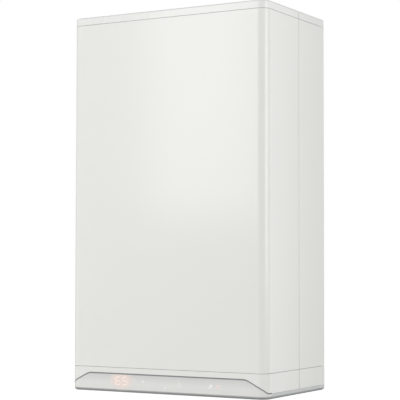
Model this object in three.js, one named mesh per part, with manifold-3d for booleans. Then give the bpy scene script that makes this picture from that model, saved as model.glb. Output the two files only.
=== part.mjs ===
// Wall-hung combi boiler: steel casing with a lift-off front cover, glass-look fascia,
// condensing heat exchanger, premix fan, gas valve, pump, diverter, plate exchanger and
// expansion vessel, all carried by a back plate that hangs on a wall bracket.
//
// Millimetres. +X is to the right seen from the front, +Y points to the wall, +Z is up.
// The pieces are drawn with z = 0 at the underside of the casing and y = 0 at the wall, and
// the whole is then lowered so that the origin is the centre of the bracket's back face.

import * as THREE from 'three';
import { mergeVertices } from 'three/addons/utils/BufferGeometryUtils.js';
import Module from 'manifold-3d';

const wasm = await Module();
wasm.setup();

// ---------------------------------------------------------------------------------------
// Driving dimensions

// Casing
const CASE_WIDTH = 450;
const CASE_DEPTH = 265;
const CASE_HEIGHT = 768;
const CORNER_RADIUS = 18;
const SHEET = 1.2;
const REAR_SHELL_DEPTH = 119.4; // wall to the upright seam of the sides
const TOP_CAP_HEIGHT = 16.4;
const LOWER_SEAM_HEIGHT = 49;
const SEAM_GAP = 0.8;
const TOP_EDGE_RADIUS = 2;
const BASE_EDGE_RADIUS = 4.5;
const CAP_LIP = 14; // reach of the caps' top over the top plate
const PANEL_FLANGE = 12; // turned-in edges of the front panel
const REAR_RETURN = 14; // turned-in edges of the rear side panels
const FIT = 0.3; // gap between pieces that touch

// Fascia and base tray
const FASCIA_HEIGHT = 37.3;
const FASCIA_WALL = 2.5;
const FASCIA_SIDE_RUN = 49; // side of the casing to the end of its level top line
const FASCIA_SLOPE = 32; // run of the sloping ends, beside that
const FASCIA_END_HEIGHT = 21; // where the slope meets the corner
const FASCIA_SIDE_HEIGHT = 11;
const FASCIA_WRAP = 25; // how far the fascia wraps round the sides
const TRAY_PLATE = 3;
const TRAY_SIDE_HEIGHT = 10;

// Structure
const TOP_PLATE = 1.5;
const TOP_PLATE_FLANGE = 12;
const BACK_INSET = 12; // wall to the back plate
const HANG_DROP = 68; // top of the casing to the middle of the bracket
const BRACKET_WIDTH = 320;
const BRACKET_PLATE = 2.5;
const BRACKET_RISE = 34; // bracket above its middle
const BRACKET_DROP = 22; // and below it
const BRACKET_REACH = 9.5; // depth of the hook channel
const BRACKET_LIP = 14;
const HOOK_PLATE = 2;
const HOOK_WIDTH = 280;
const HOOK_TOP = 20;
const SLOT_SPACING = 240; // bracket screw slots
const SLOT_LENGTH = 22;
const SLOT_WIDTH = 9;

// Flue
const FLUE_SETBACK = 130; // wall to the flue's axis
const FLUE_OUTER_BORE = 100.5;
const FLUE_INNER_BORE = 61;
const FLUE_WALL = 3.5;
const FLUE_COLLAR_RISE = 15; // collar above the casing
const FLUE_COLLAR_DROP = 23; // collar below the top of the casing
const FLUE_FLANGE = 124;
const FLUE_PIPE = 60;
const FLUE_PIPE_WALL = 1.5;

// Cover locks
const LOCK_SIDE_GAP = 75; // side of the casing to each lock
const LOCK_SETBACK = 32; // front of the casing to the lock's axis
const LOCK_PIN = 7;
const LOCK_HEAD = 12;
const LOCK_ARM = 14;
const LOCK_ARM_WIDTH = 5;
const LOCK_ARM_THICKNESS = 2.4;
const TONGUE_THICKNESS = 2;
const TONGUE_WIDTH = 14;

// Swages that stiffen the back plate
const SWAGE_SPACING = 300;
const SWAGE_WIDTH = 24;
const SWAGE_DEPTH = 3;
const SWAGE_BOTTOM = 120;
const SWAGE_END_GAP = 45; // from the swage's top to the middle of the bracket

// Depth of the combustion parts, from the front panel back to the exchanger
const FRONT_ROOM = 8.8; // front panel to the mixer
const MIXER_LENGTH = 21.4;
const FAN_WIDTH = 44;
const DUCT_BEND = 27;
const DOOR_THICKNESS = 16.4;
const GASKET_THICKNESS = 2;

// Heat exchanger
const HX_X = 38; // axis, right of the casing's middle
const HX_DROP = 208; // top of the casing to the axis
const HX_SETBACK = 30; // wall to its back
const HX_RADIUS = 108;
const HX_WALL = 4;
const HX_DOME = 10;
const HX_FLANGE = 10;
const HX_FLANGE_THICKNESS = 5;
const HX_BEAD = 2.5;
const COIL_RADIUS = 84;
const COIL_TUBE = 14;
const COIL_PITCH = 17;
const COIL_MARGIN = 24; // housing's back to the first turn
const BURNER_RADIUS = 35;
const BURNER_WALL = 1.5;
const BURNER_LENGTH = 92;
const DOOR_RIBS = 6;
const HEADER_GAP = 4;
const HEADER_BOSS = 12;
const HEADER_LENGTH = 22;
const DRAIN_RADIUS = 12;
const DRAIN_SETBACK = 100;
const SPIGOT_RISE = 22;
const SPIGOT_DEPTH = 18;
const ELECTRODE_X = 30; // right of the burner's axis
const ELECTRODE_Z = 46; // above it
const ELECTRODE_PITCH = 16;
const ELECTRODE_REACH = 62;

// Fan, mixer and gas line
const FAN_DROP = 195; // exchanger's axis to the fan's
const FAN_WALL = 3;
const SCROLL_START = 56;
const SCROLL_END = 70;
const FAN_OUTLET = 44;
const FAN_OUTLET_RISE = 70;
const FAN_INLET = 56;
const IMPELLER_RADIUS = 48;
const IMPELLER_GAP = 4; // impeller to the walls in front and behind
const IMPELLER_HUB = 9;
const BLADE_COUNT = 8;
const BLADE_THICKNESS = 1.6;
const BLADE_ROOT = 24;
const FAN_SHAFT = 8;
const FAN_MOTOR_RADIUS = 38;
const FAN_MOTOR_LENGTH = 39;
const DUCT_RADIUS = 20;
const DUCT_WALL = 2;
const MIXER_THROAT = 44;
const MIXER_FLANGE = 39;
const GAS_PORT = 12;
const GAS_PORT_BEND = 7;
const GAS_STUB = 6;
const VALVE_X = 130;
const VALVE_WIDTH = 70;
const VALVE_HEIGHT = 84;
const VALVE_DEPTH = 62;
const VALVE_SETBACK = 124;
const SOLENOID_RADIUS = 17;
const SOLENOID_LENGTH = 34;
const GAS_PIPE = 18;
const GAS_CROSS_HEIGHT = 215;
const GAS_BEND = 18;

// Ignition
const IGNITION_WIDTH = 60;
const IGNITION_HEIGHT = 54;
const IGNITION_DEPTH = 44;
const IGNITION_DROP = 30; // top of the casing to its top
const LEAD_DIAMETER = 6;

// Pipe tails and water blocks
const PIPE_SETBACK = 55; // wall to the row of pipe tails
const TAIL_SIDE_GAP = 95; // side of the casing to the outer heating tails
const TAIL_DROP = 8; // tails below the casing
const HEATING_TAIL = 22;
const WATER_TAIL = 15;
const TAIL_WALL = 1.2;
const TAIL_CLEARANCE = 4; // round each tail in the base tray
const BLOCK_RADIUS = 20;
const BLOCK_BOTTOM = 30;
const BLOCK_TOP = 190;
const BLOCK_FRONT = 77.7; // wall to the face that carries exchanger and pump
const ARM_BOTTOM = 95;
const ARM_HEIGHT = 52;
const ARM_INNER_GAP = 15; // from the water tails to the arms' free ends
const BLOCK_FOOT = 20;
const DIVERTER_BORE = 24;
const DIVERTER_STEM = 6;
const DIVERTER_TRAVEL = 6;
const ACTUATOR_SIZE = 36;
const ACTUATOR_HEIGHT = 46;
const FLOW_INLET_REACH = 35; // flow block's axis to the pipe that comes down beside it
const FLOW_INLET_TOP = 175;

// Plate exchanger
const PHE_LEFT_GAP = 34; // heating flow tail to its left edge
const PHE_RIGHT_GAP = 54; // heating return tail to its right edge
const PHE_HEIGHT = 74;
const PHE_BOTTOM = 84;
const PHE_PLATES = 8;
const PHE_PITCH = 7;
const PHE_PLATE = 2.5;

// Pump
const PUMP_Z = 150;
const PUMP_RADIUS = 45;
const PUMP_DEPTH = 32;
const PUMP_WALL = 5;
const PUMP_SHAFT = 8;
const PUMP_BLADES = 5;
const MOTOR_RADIUS = 42;
const MOTOR_LENGTH = 70;
const PUMP_PORT = 14;

// Relief valve and flow sensor
const RELIEF_RADIUS = 13;
const RELIEF_LENGTH = 32;
const RELIEF_KNOB_RADIUS = 14;
const RELIEF_KNOB_LENGTH = 18;
const DISCHARGE_OFFSET = 45; // right of the return tail
const SENSOR_RADIUS = 15;
const SENSOR_BORE = 22;
const SENSOR_BOTTOM = 22;
const TURBINE_BLADES = 4;
const TURBINE_PITCH = 0.4; // slant of its blades, in radians

// Water pipes between the parts
const HX_PIPE = 18;
const HX_PIPE_WALL = 1;
const HX_PIPE_BEND = 16;
const FLOW_CROSS_HEIGHT = 275;
const RETURN_CROSS_HEIGHT = 240;
const VENT_RADIUS = 11;
const VENT_HEIGHT = 45;

// Expansion vessel
const VESSEL_WIDTH = 80;
const VESSEL_RISE = 85; // pipe that crosses below it to its underside
const VESSEL_BRACKET = 50;
const VESSEL_DEPTH = 200;
const VESSEL_SETBACK = 25;
const VESSEL_DROP = 58; // top of the casing to its top
const VESSEL_CORNER = 40;
const VESSEL_CROWN = 14;
const VESSEL_RIM = 3;
const VESSEL_HOSE = 12;
const VESSEL_PORT_SETBACK = 85;
const VESSEL_SHELF = 2;

// Condensate trap
const TRAP_SIDE_GAP = 40; // side of the casing to its axis
const TRAP_SETBACK = 130;
const TRAP_DIAMETER = 52;
const TRAP_WALL = 3;
const TRAP_CLEARANCE = 1.5;
const TRAP_TOP = 118;
const TRAP_DROP = 8; // outlet below the casing
const TRAP_OUTLET = 22;
const HOSE_RADIUS = 10;

// Controls
const CONTROL_SIDE_GAP = 25;
const CONTROL_FRONT_GAP = 13; // front of the casing to its front
const CONTROL_DEPTH = 48;
const CONTROL_BOTTOM = 10;
const CONTROL_HEIGHT = 82;
const CONTROL_WALL = 2.5;
const BOARD = 1.6;
const DISPLAY_WIDTH = 280;
const DISPLAY_BOTTOM = 11;
const DISPLAY_HEIGHT = 24;
const DIGITS_X = -102;
const DIGITS_WIDTH = 44;

// Places of the pipe tails along the row, with the diameter of each
const tailPitch = (CASE_WIDTH / 2 - TAIL_SIDE_GAP) / 2;
const TAILS = {
  flow: { x: -2 * tailPitch, bore: HEATING_TAIL },
  hotWater: { x: -tailPitch, bore: WATER_TAIL },
  gas: { x: 0, bore: GAS_PIPE },
  coldWater: { x: tailPitch, bore: WATER_TAIL },
  return: { x: 2 * tailPitch, bore: HEATING_TAIL },
  discharge: { x: 2 * tailPitch + DISCHARGE_OFFSET, bore: WATER_TAIL },
};
const trapX = -(CASE_WIDTH / 2 - TRAP_SIDE_GAP);

// ---------------------------------------------------------------------------------------
// Making solids

const WELD = 1e-3;
const LARGE_ROUND = 24; // sides of the largest round pieces
const ROUND = 16;
const SMALL_ROUND = 8; // sides of a pipe or pin
const BEND_STEPS = 3; // steps in a quarter bend
const FINE_EDGE = 4; // edges rounded by less than this are plain chamfers

const RIGHT = new THREE.Vector3(1, 0, 0);
const LEFT = new THREE.Vector3(-1, 0, 0);
const BACK = new THREE.Vector3(0, 1, 0);
const FORWARD = new THREE.Vector3(0, -1, 0);
const UP = new THREE.Vector3(0, 0, 1);

/** A closed geometry as a solid whose faces point out. */
function solidOf(geometry) {
  const bare = geometry.index ? geometry.toNonIndexed() : geometry.clone();
  bare.deleteAttribute('normal');
  bare.deleteAttribute('uv');
  const joined = mergeVertices(bare, WELD);
  const corner = joined.index.array;
  const place = joined.attributes.position.array;
  const faces = [];
  let volume = 0;
  for (let i = 0; i < corner.length; i += 3) {
    const [a, b, c] = [corner[i], corner[i + 1], corner[i + 2]];
    if (a === b || b === c || c === a) continue;
    faces.push([a, b, c]);
    const [p, q, r] = [a, b, c].map((k) => new THREE.Vector3().fromArray(place, 3 * k));
    volume += p.dot(q.cross(r));
  }
  const outward = volume < 0 ? faces.map(([a, b, c]) => [a, c, b]) : faces;
  return new wasm.Manifold(new wasm.Mesh({
    numProp: 3,
    vertProperties: new Float32Array(place),
    triVerts: new Uint32Array(outward.flat()),
  }));
}

/** A solid as a geometry. */
function geometryOf(solid) {
  const { vertProperties, triVerts } = solid.getMesh();
  const geometry = new THREE.BufferGeometry();
  geometry.setAttribute('position', new THREE.BufferAttribute(vertProperties, 3));
  geometry.setIndex(new THREE.BufferAttribute(triVerts, 1));
  geometry.computeVertexNormals();
  return geometry;
}

/** Several solids joined into one. */
function union(...solids) {
  return solids.reduce((sum, solid) => sum.add(solid));
}

/** Rectangular block between two values on each axis. */
function block([x0, x1], [y0, y1], [z0, z1]) {
  const geometry = new THREE.BoxGeometry(Math.abs(x1 - x0), Math.abs(y1 - y0), Math.abs(z1 - z0));
  geometry.translate((x0 + x1) / 2, (y0 + y1) / 2, (z0 + z1) / 2);
  return solidOf(geometry);
}

/** Profile of [radius, height] pairs revolved about an axis through `at` that points `along`. */
function turned(profile, at, along = UP, sides = ROUND) {
  const points = profile.map(([radius, height]) => new THREE.Vector2(radius, height));
  const geometry = new THREE.LatheGeometry(points, sides);
  geometry.applyQuaternion(new THREE.Quaternion().setFromUnitVectors(BACK, along));
  geometry.translate(...at);
  return solidOf(geometry);
}

/** Round bar from `from` to `to` along the axis. */
function bar(radius, at, along, from, to, sides = SMALL_ROUND) {
  return turned([[0, from], [radius, from], [radius, to], [0, to]], at, along, sides);
}

/** Cutter for a round hole; its flats clear a bar of the same radius. */
function hole(radius, at, along, from, to, sides = SMALL_ROUND) {
  return bar(radius / Math.cos(Math.PI / sides), at, along, from, to, sides);
}

/** Round tube from `from` to `to` along the axis. */
function sleeve(radius, bore, at, along, from, to, sides = SMALL_ROUND) {
  return turned([[bore, from], [radius, from], [radius, to], [bore, to], [bore, from]], at, along, sides);
}

const PLANES = {
  top: new THREE.Matrix4().makeBasis(RIGHT, BACK, UP), // x, y, extruded up
  front: new THREE.Matrix4().makeBasis(RIGHT, UP, FORWARD), // x, z, extruded forwards
  side: new THREE.Matrix4().makeBasis(BACK, UP, RIGHT), // y, z, extruded to the right
};

/** Outline in one of the planes, extruded by `depth` from `start`; `edge` rounds both rims. */
function prism(outline, plane, start, depth, edge = 0, steps = 3) {
  const geometry = new THREE.ExtrudeGeometry(outline, {
    depth: depth - 2 * edge,
    curveSegments: steps,
    bevelEnabled: edge > 0,
    bevelThickness: edge,
    bevelSize: edge,
    bevelOffset: -edge,
    bevelSegments: edge < FINE_EDGE ? 1 : 3,
  });
  geometry.translate(0, 0, edge);
  geometry.applyMatrix4(PLANES[plane]);
  const shift = { top: [0, 0, start], front: [0, start, 0], side: [start, 0, 0] }[plane];
  geometry.translate(...shift);
  return solidOf(geometry);
}

/** Rectangle with rounded corners. */
function roundedRect(x0, x1, y0, y1, radius) {
  const r = Math.min(radius, (x1 - x0) / 2 - WELD, (y1 - y0) / 2 - WELD);
  const shape = new THREE.Shape();
  shape.moveTo(x0 + r, y0);
  shape.lineTo(x1 - r, y0);
  shape.absarc(x1 - r, y0 + r, r, -Math.PI / 2, 0, false);
  shape.lineTo(x1, y1 - r);
  shape.absarc(x1 - r, y1 - r, r, 0, Math.PI / 2, false);
  shape.lineTo(x0 + r, y1);
  shape.absarc(x0 + r, y1 - r, r, Math.PI / 2, Math.PI, false);
  shape.lineTo(x0, y0 + r);
  shape.absarc(x0 + r, y0 + r, r, Math.PI, 1.5 * Math.PI, false);
  return shape;
}

/** Closed outline through [x, y] corners. */
function outlineOf(corners) {
  return new THREE.Shape(corners.map(([x, y]) => new THREE.Vector2(x, y)));
}

/** Round section of a tube, with an optional bore. */
function ringShape(radius, bore, sides) {
  const circle = (r) => Array.from({ length: sides }, (_, i) => {
    const angle = (2 * Math.PI * i) / sides;
    return new THREE.Vector2(r * Math.cos(angle), r * Math.sin(angle));
  });
  const shape = new THREE.Shape(circle(radius));
  if (bore > 0) shape.holes.push(new THREE.Path(circle(bore)));
  return shape;
}

/** Path through given stations, each with its own place and direction. */
class StationPath extends THREE.Curve {
  constructor(stations) {
    super();
    this.stations = stations;
  }

  station(share) {
    return this.stations[Math.round(share * (this.stations.length - 1))];
  }

  getPoint(share, target = new THREE.Vector3()) {
    return target.copy(this.station(share).place);
  }

  getPointAt(share, target) {
    return this.getPoint(share, target);
  }

  getTangentAt(share, target = new THREE.Vector3()) {
    return target.copy(this.station(share).way);
  }
}

/** Section swept through the stations. */
function swept(section, stations) {
  const geometry = new THREE.ExtrudeGeometry(section, {
    steps: stations.length - 1,
    extrudePath: new StationPath(stations),
  });
  return solidOf(geometry);
}

/** Stations of a run of straight legs between corners, joined by bends of one radius. */
function bentRun(corners, bendRadius, bendSteps = BEND_STEPS) {
  const points = corners.map((corner) => new THREE.Vector3(...corner));
  const last = points.length - 1;
  const way = (a, b) => b.clone().sub(a).normalize();
  const stations = [{ place: points[0], way: way(points[0], points[1]) }];
  for (let i = 1; i < last; i += 1) {
    const incoming = way(points[i - 1], points[i]);
    const outgoing = way(points[i], points[i + 1]);
    const angle = incoming.angleTo(outgoing);
    const setback = bendRadius * Math.tan(angle / 2);
    const start = points[i].clone().addScaledVector(incoming, -setback);
    const inwards = outgoing.clone().addScaledVector(incoming, -outgoing.dot(incoming)).normalize();
    const steps = Math.max(2, Math.round((bendSteps * angle) / (Math.PI / 2)));
    for (let k = 0; k <= steps; k += 1) {
      const turn = (angle * k) / steps;
      const place = start.clone()
        .addScaledVector(incoming, bendRadius * Math.sin(turn))
        .addScaledVector(inwards, bendRadius * (1 - Math.cos(turn)));
      const heading = incoming.clone().multiplyScalar(Math.cos(turn))
        .addScaledVector(inwards, Math.sin(turn));
      stations.push({ place, way: heading });
    }
  }
  stations.push({ place: points[last], way: way(points[last - 1], points[last]) });
  return stations;
}

/** Round pipe through corners; a bore makes it a tube open at both ends. */
function pipe(radius, corners, bendRadius, bore = 0, sides = SMALL_ROUND) {
  return swept(ringShape(radius, bore, sides), bentRun(corners, bendRadius));
}

// ---------------------------------------------------------------------------------------
// Casing

const halfWidth = CASE_WIDTH / 2;
const hangHeight = CASE_HEIGHT - HANG_DROP;
const fasciaShoulder = halfWidth - FASCIA_SIDE_RUN;
const topSeam = CASE_HEIGHT - TOP_CAP_HEIGHT;
const coverRear = -(REAR_SHELL_DEPTH + SEAM_GAP / 2);
const shellFront = -(REAR_SHELL_DEPTH - SEAM_GAP / 2);
const fasciaRear = -(CASE_DEPTH - FASCIA_WRAP);
const topPlateTop = CASE_HEIGHT - SHEET - FIT;
const topPlateBottom = topPlateTop - TOP_PLATE;
const WIDE = CASE_WIDTH + CASE_DEPTH + CASE_HEIGHT; // longer than the casing, for cuts

/** Plan of the casing, drawn in by `inset` at the sides and the front, up to `rear`. */
function casePlan(inset = 0, rear = 0) {
  const half = halfWidth - inset;
  const front = -CASE_DEPTH + inset;
  const r = Math.max(CORNER_RADIUS - inset, 1);
  const plan = new THREE.Shape();
  plan.moveTo(half, rear);
  plan.lineTo(-half, rear);
  plan.lineTo(-half, front + r);
  plan.absarc(-half + r, front + r, r, Math.PI, 1.5 * Math.PI, false);
  plan.lineTo(half - r, front);
  plan.absarc(half - r, front + r, r, 1.5 * Math.PI, 2 * Math.PI, false);
  return plan;
}

/** Slice of the casing's full form, with both rims rounded by `edge`. */
function caseSlice(bottom, top, edge = 0) {
  return prism(casePlan(), 'top', bottom, top - bottom, edge);
}

/** Room inside the casing's walls; it opens to the wall behind. */
function caseRoom(inset, bottom, top, rear = 1) {
  return prism(casePlan(inset, rear), 'top', bottom, top - bottom);
}

/** Part of a solid between two depths. */
function between(solid, front, rear) {
  return solid.intersect(block([-WIDE, WIDE], [front, rear], [-WIDE, WIDE]));
}

/** Outline of the fascia seen from the front, raised by `grow`. */
function fasciaOutline(grow = 0) {
  const slopeEnd = fasciaShoulder + FASCIA_SLOPE;
  const end = halfWidth + 1;
  const side = (sign) => [
    [sign * end, FASCIA_SIDE_HEIGHT + grow],
    [sign * (slopeEnd + 9), (FASCIA_END_HEIGHT + FASCIA_SIDE_HEIGHT) / 2 - 1 + grow],
    [sign * slopeEnd, FASCIA_END_HEIGHT + grow],
  ];
  const shoulder = (sign) => {
    const rim = FASCIA_HEIGHT + grow;
    const fall = (FASCIA_HEIGHT - FASCIA_END_HEIGHT) / FASCIA_SLOPE;
    const blend = new THREE.QuadraticBezierCurve(
      new THREE.Vector2(sign * (fasciaShoulder + 10), rim - 10 * fall),
      new THREE.Vector2(sign * fasciaShoulder, rim),
      new THREE.Vector2(sign * (fasciaShoulder - 9), rim),
    );
    return blend.getPoints(5).map((point) => [point.x, point.y]);
  };
  return outlineOf([
    [-end, -WIDE], [end, -WIDE], ...side(1), ...shoulder(1),
    ...shoulder(-1).reverse(), ...side(-1).reverse(),
  ]);
}

/** Everything in front of the base tray and under the fascia's outline. */
function fasciaZone(grow, rear) {
  return prism(fasciaOutline(grow), 'front', rear, CASE_DEPTH);
}

function frontPanel() {
  const bottom = LOWER_SEAM_HEIGHT;
  const walls = caseSlice(bottom, topSeam).subtract(caseRoom(SHEET, bottom - 1, topSeam + 1));
  const flanges = [bottom, topSeam - SHEET].map((level) => caseSlice(level, level + SHEET)
    .subtract(caseRoom(PANEL_FLANGE, level - 1, level + SHEET + 1)));
  return between(union(walls, ...flanges), -CASE_DEPTH, coverRear);
}

/** The rim round the top, cut from one rounded form, before it is parted at the seam. */
function topRim() {
  const bottom = topSeam + SEAM_GAP;
  const form = caseSlice(bottom - TOP_CAP_HEIGHT, CASE_HEIGHT, TOP_EDGE_RADIUS)
    .intersect(block([-WIDE, WIDE], [-WIDE, WIDE], [bottom, CASE_HEIGHT]));
  return form
    .subtract(caseRoom(SHEET, bottom - 1, CASE_HEIGHT - SHEET, -SHEET))
    .subtract(caseRoom(CAP_LIP, bottom - 1, CASE_HEIGHT + 1, -CAP_LIP));
}

/** The casing's lowest stretch as one rounded shell, with walls of the given thickness. */
function lowerShell(wall, rear = 1) {
  const roundedTop = LOWER_SEAM_HEIGHT + 2 * BASE_EDGE_RADIUS;
  return caseSlice(0, roundedTop, BASE_EDGE_RADIUS)
    .subtract(caseRoom(wall, TRAY_PLATE, roundedTop + 1, rear));
}

function displayFascia() {
  const shell = between(lowerShell(FASCIA_WALL), -CASE_DEPTH, fasciaRear - FIT);
  const face = shell.intersect(fasciaZone(0, 0));
  return union(face, ...[-1, 1].map(coverTongue));
}

/** Band above the fascia, which runs on along both sides to the upright seam. */
function frontLowerBand() {
  const top = LOWER_SEAM_HEIGHT - SEAM_GAP;
  const sideBottom = TRAY_SIDE_HEIGHT + FIT;
  const shell = between(lowerShell(SHEET), -CASE_DEPTH, coverRear)
    .intersect(block([-WIDE, WIDE], [-WIDE, WIDE], [TRAY_PLATE, top]));
  return shell
    .subtract(fasciaZone(FIT, fasciaRear))
    .subtract(block([-WIDE, WIDE], [fasciaRear, 0], [0, sideBottom]));
}

function rearLowerBand() {
  const band = between(lowerShell(SHEET, -SHEET), shellFront, 0);
  return band.intersect(
    block([-WIDE, WIDE], [-WIDE, WIDE], [TRAY_SIDE_HEIGHT + FIT, LOWER_SEAM_HEIGHT - SEAM_GAP]),
  );
}

/** Rear side panel with turned-in edges; `side` is -1 on the left, 1 on the right. */
function sidePanel(side) {
  const outer = side * halfWidth;
  const inner = side * (halfWidth - REAR_RETURN);
  const height = [LOWER_SEAM_HEIGHT, topSeam];
  return union(
    block([outer, outer - side * SHEET], [shellFront, 0], height),
    block([outer, inner], [-SHEET, 0], height),
    block([outer, inner], [shellFront, shellFront + SHEET], height),
  );
}

function topPlate() {
  const inset = SHEET + FIT;
  const plate = prism(casePlan(inset, -inset), 'top', topPlateBottom, TOP_PLATE);
  const skirtBottom = topPlateBottom - TOP_PLATE_FLANGE;
  const skirt = prism(casePlan(inset, -inset), 'top', skirtBottom, TOP_PLATE_FLANGE + TOP_PLATE)
    .subtract(caseRoom(inset + TOP_PLATE, skirtBottom - 1, topPlateTop + 1, -inset - BACK_INSET));
  const flueHole = hole(FLUE_OUTER_BORE / 2 + FLUE_WALL + FIT, [0, -FLUE_SETBACK, 0], UP,
    topPlateBottom - 1, topPlateTop + 1, LARGE_ROUND);
  const backSlot = block([-WIDE, WIDE], [-inset - BACK_INSET, 0], [skirtBottom - 1, topPlateBottom]);
  return union(plate, skirt.subtract(backSlot)).subtract(flueHole);
}

// ---------------------------------------------------------------------------------------
// Back plate, wall bracket and cover locks

const trayTop = TRAY_PLATE;
const backFace = -(BACK_INSET + SHEET); // front of the back plate

/** Swage pressed back out of the back plate; drawn in by `inset` it is the hollow behind it. */
function swage(x, inset) {
  const half = SWAGE_WIDTH / 2 - inset;
  const outline = roundedRect(x - half, x + half, SWAGE_BOTTOM + inset,
    hangHeight - SWAGE_END_GAP - inset, half);
  const rear = -BACK_INSET + SWAGE_DEPTH - inset;
  return prism(outline, 'front', rear, SWAGE_DEPTH + SHEET / 2 + inset, 0, 2);
}

function backPlate() {
  const half = halfWidth - SHEET - FIT;
  const plate = block([-half, half], [-BACK_INSET - SHEET, -BACK_INSET],
    [trayTop + FIT, topPlateBottom - FIT]);
  const trayWalls = [-1, 1].map((side) => block([side * (halfWidth - FASCIA_WALL - FIT), side * WIDE],
    [-BACK_INSET - WIDE, 0], [0, TRAY_SIDE_HEIGHT + FIT]));
  const blade = bladeDepth();
  const half2 = HOOK_WIDTH / 2;
  const restsAt = hangHeight - BRACKET_DROP + BRACKET_PLATE + FIT;
  const hook = union(
    block([-half2, half2], blade, [restsAt, hangHeight + HOOK_TOP]),
    block([-half2, half2], [-BACK_INSET - SHEET, blade[1]],
      [hangHeight + HOOK_TOP - HOOK_PLATE, hangHeight + HOOK_TOP]),
  );
  const swages = [-1, 1].map((side) => swage((side * SWAGE_SPACING) / 2, 0));
  const hollows = [-1, 1].map((side) => swage((side * SWAGE_SPACING) / 2, SHEET));
  return union(plate, hook, ...swages).subtract(union(...hollows, ...trayWalls));
}

/** Depths of the hook blade, which hangs in the middle of the bracket's channel. */
function bladeDepth() {
  const middle = -(BRACKET_REACH + BRACKET_PLATE - BRACKET_PLATE) / 2;
  return [middle - HOOK_PLATE / 2, middle + HOOK_PLATE / 2];
}

function wallBracket() {
  const half = BRACKET_WIDTH / 2;
  const [bottom, top] = [hangHeight - BRACKET_DROP, hangHeight + BRACKET_RISE];
  const profile = outlineOf([
    [0, bottom], [0, top], [-BRACKET_PLATE, top], [-BRACKET_PLATE, bottom + BRACKET_PLATE],
    [-BRACKET_REACH + BRACKET_PLATE, bottom + BRACKET_PLATE],
    [-BRACKET_REACH + BRACKET_PLATE, bottom + BRACKET_LIP], [-BRACKET_REACH, bottom + BRACKET_LIP],
    [-BRACKET_REACH, bottom],
  ]);
  const slotHeight = hangHeight + (HOOK_TOP + BRACKET_RISE) / 2;
  const slots = [-1, 1].map((sign) => {
    const x = (sign * SLOT_SPACING) / 2;
    const outline = roundedRect(x - SLOT_LENGTH / 2, x + SLOT_LENGTH / 2,
      slotHeight - SLOT_WIDTH / 2, slotHeight + SLOT_WIDTH / 2, SLOT_WIDTH / 2);
    return prism(outline, 'front', 1, BRACKET_PLATE + 2, 0, 3);
  });
  return prism(profile, 'side', -half, BRACKET_WIDTH).subtract(union(...slots));
}

const lockX = halfWidth - LOCK_SIDE_GAP;
const lockY = -(CASE_DEPTH - LOCK_SETBACK);
const armBottom = trayTop + TONGUE_THICKNESS + 2 * FIT + 1;

/** Tongue of the cover's lower lip, with the rib that a turned lock arm holds. */
function coverTongue(side) {
  const near = side * lockX + LOCK_PIN / 2 + 2;
  const level = trayTop + FIT;
  const ribRear = lockY + LOCK_ARM_WIDTH / 2 + 1 + TONGUE_THICKNESS;
  return union(
    block([near, near + TONGUE_WIDTH], [fasciaRear - 6, ribRear], [level, level + TONGUE_THICKNESS]),
    block([near, near + TONGUE_WIDTH], [fasciaRear - 6, fasciaRear - 1],
      [TRAY_PLATE - 1, level + TONGUE_THICKNESS]),
    block([near, near + TONGUE_WIDTH], [ribRear - TONGUE_THICKNESS, ribRear],
      [level, armBottom + LOCK_ARM_THICKNESS]),
  );
}

/** Quarter-turn lock, drawn released: its arm points forwards. */
function coverLock(side) {
  const x = side * lockX;
  const at = [x, lockY, 0];
  const arm = block([x - LOCK_ARM_WIDTH / 2, x + LOCK_ARM_WIDTH / 2], [lockY - LOCK_ARM, lockY],
    [armBottom, armBottom + LOCK_ARM_THICKNESS]);
  const driverSlot = block([x - LOCK_HEAD, x + LOCK_HEAD], [lockY - 0.8, lockY + 0.8], [0, 0.9]);
  return union(
    bar(LOCK_HEAD / 2, at, UP, FIT, TRAY_PLATE / 2),
    bar(LOCK_PIN / 2, at, UP, FIT, armBottom + LOCK_ARM_THICKNESS),
    arm,
  ).subtract(driverSlot);
}

function baseTray() {
  const shell = between(lowerShell(FASCIA_WALL), fasciaRear, 0)
    .intersect(block([-WIDE, WIDE], [-WIDE, WIDE], [0, TRAY_SIDE_HEIGHT]));
  const through = (radius, x, y) => hole(radius, [x, y, 0], UP, -1, TRAY_PLATE + 1);
  const locks = [-1, 1].flatMap((side) => {
    const x = side * lockX;
    return [
      through(LOCK_PIN / 2 + FIT, x, lockY),
      hole(LOCK_HEAD / 2 + FIT, [x, lockY, 0], UP, -1, TRAY_PLATE / 2 + FIT),
    ];
  });
  const tails = Object.values(TAILS).map(({ x, bore }) => through(
    bore / 2 + TAIL_CLEARANCE, x, -PIPE_SETBACK));
  const trap = through(TRAP_DIAMETER / 2 + TRAP_CLEARANCE, trapX, -TRAP_SETBACK);
  return shell.subtract(union(...locks, ...tails, trap));
}

// ---------------------------------------------------------------------------------------
// Flue and heat exchanger. Heights along FORWARD from y = 0 are distances from the wall.

const mixerFront = CASE_DEPTH - SHEET - FRONT_ROOM;
const fanFront = mixerFront - MIXER_LENGTH - FIT;
const fanMiddle = fanFront - FAN_WIDTH / 2;
const fanBack = fanFront - FAN_WIDTH;
const doorFront = fanMiddle - DUCT_BEND - FIT;
const doorBack = doorFront - DOOR_THICKNESS;
const doorPlate = 7; // thickness of the door's rim
const hxFront = doorBack - GASKET_THICKNESS - 2 * FIT;
const hxZ = CASE_HEIGHT - HX_DROP;
const hxAxis = [HX_X, 0, hxZ];
const coilStart = HX_SETBACK + COIL_MARGIN;
const coilTurns = Math.floor((hxFront - coilStart - COIL_TUBE) / COIL_PITCH) - 0.5;
const coilEnd = coilStart + coilTurns * COIL_PITCH;
const headerX = HX_X + HX_RADIUS + HX_BEAD + HEADER_GAP;
const headerEnd = headerX + HEADER_LENGTH;
const spigotTop = hxZ + HX_RADIUS + SPIGOT_RISE;
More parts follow.
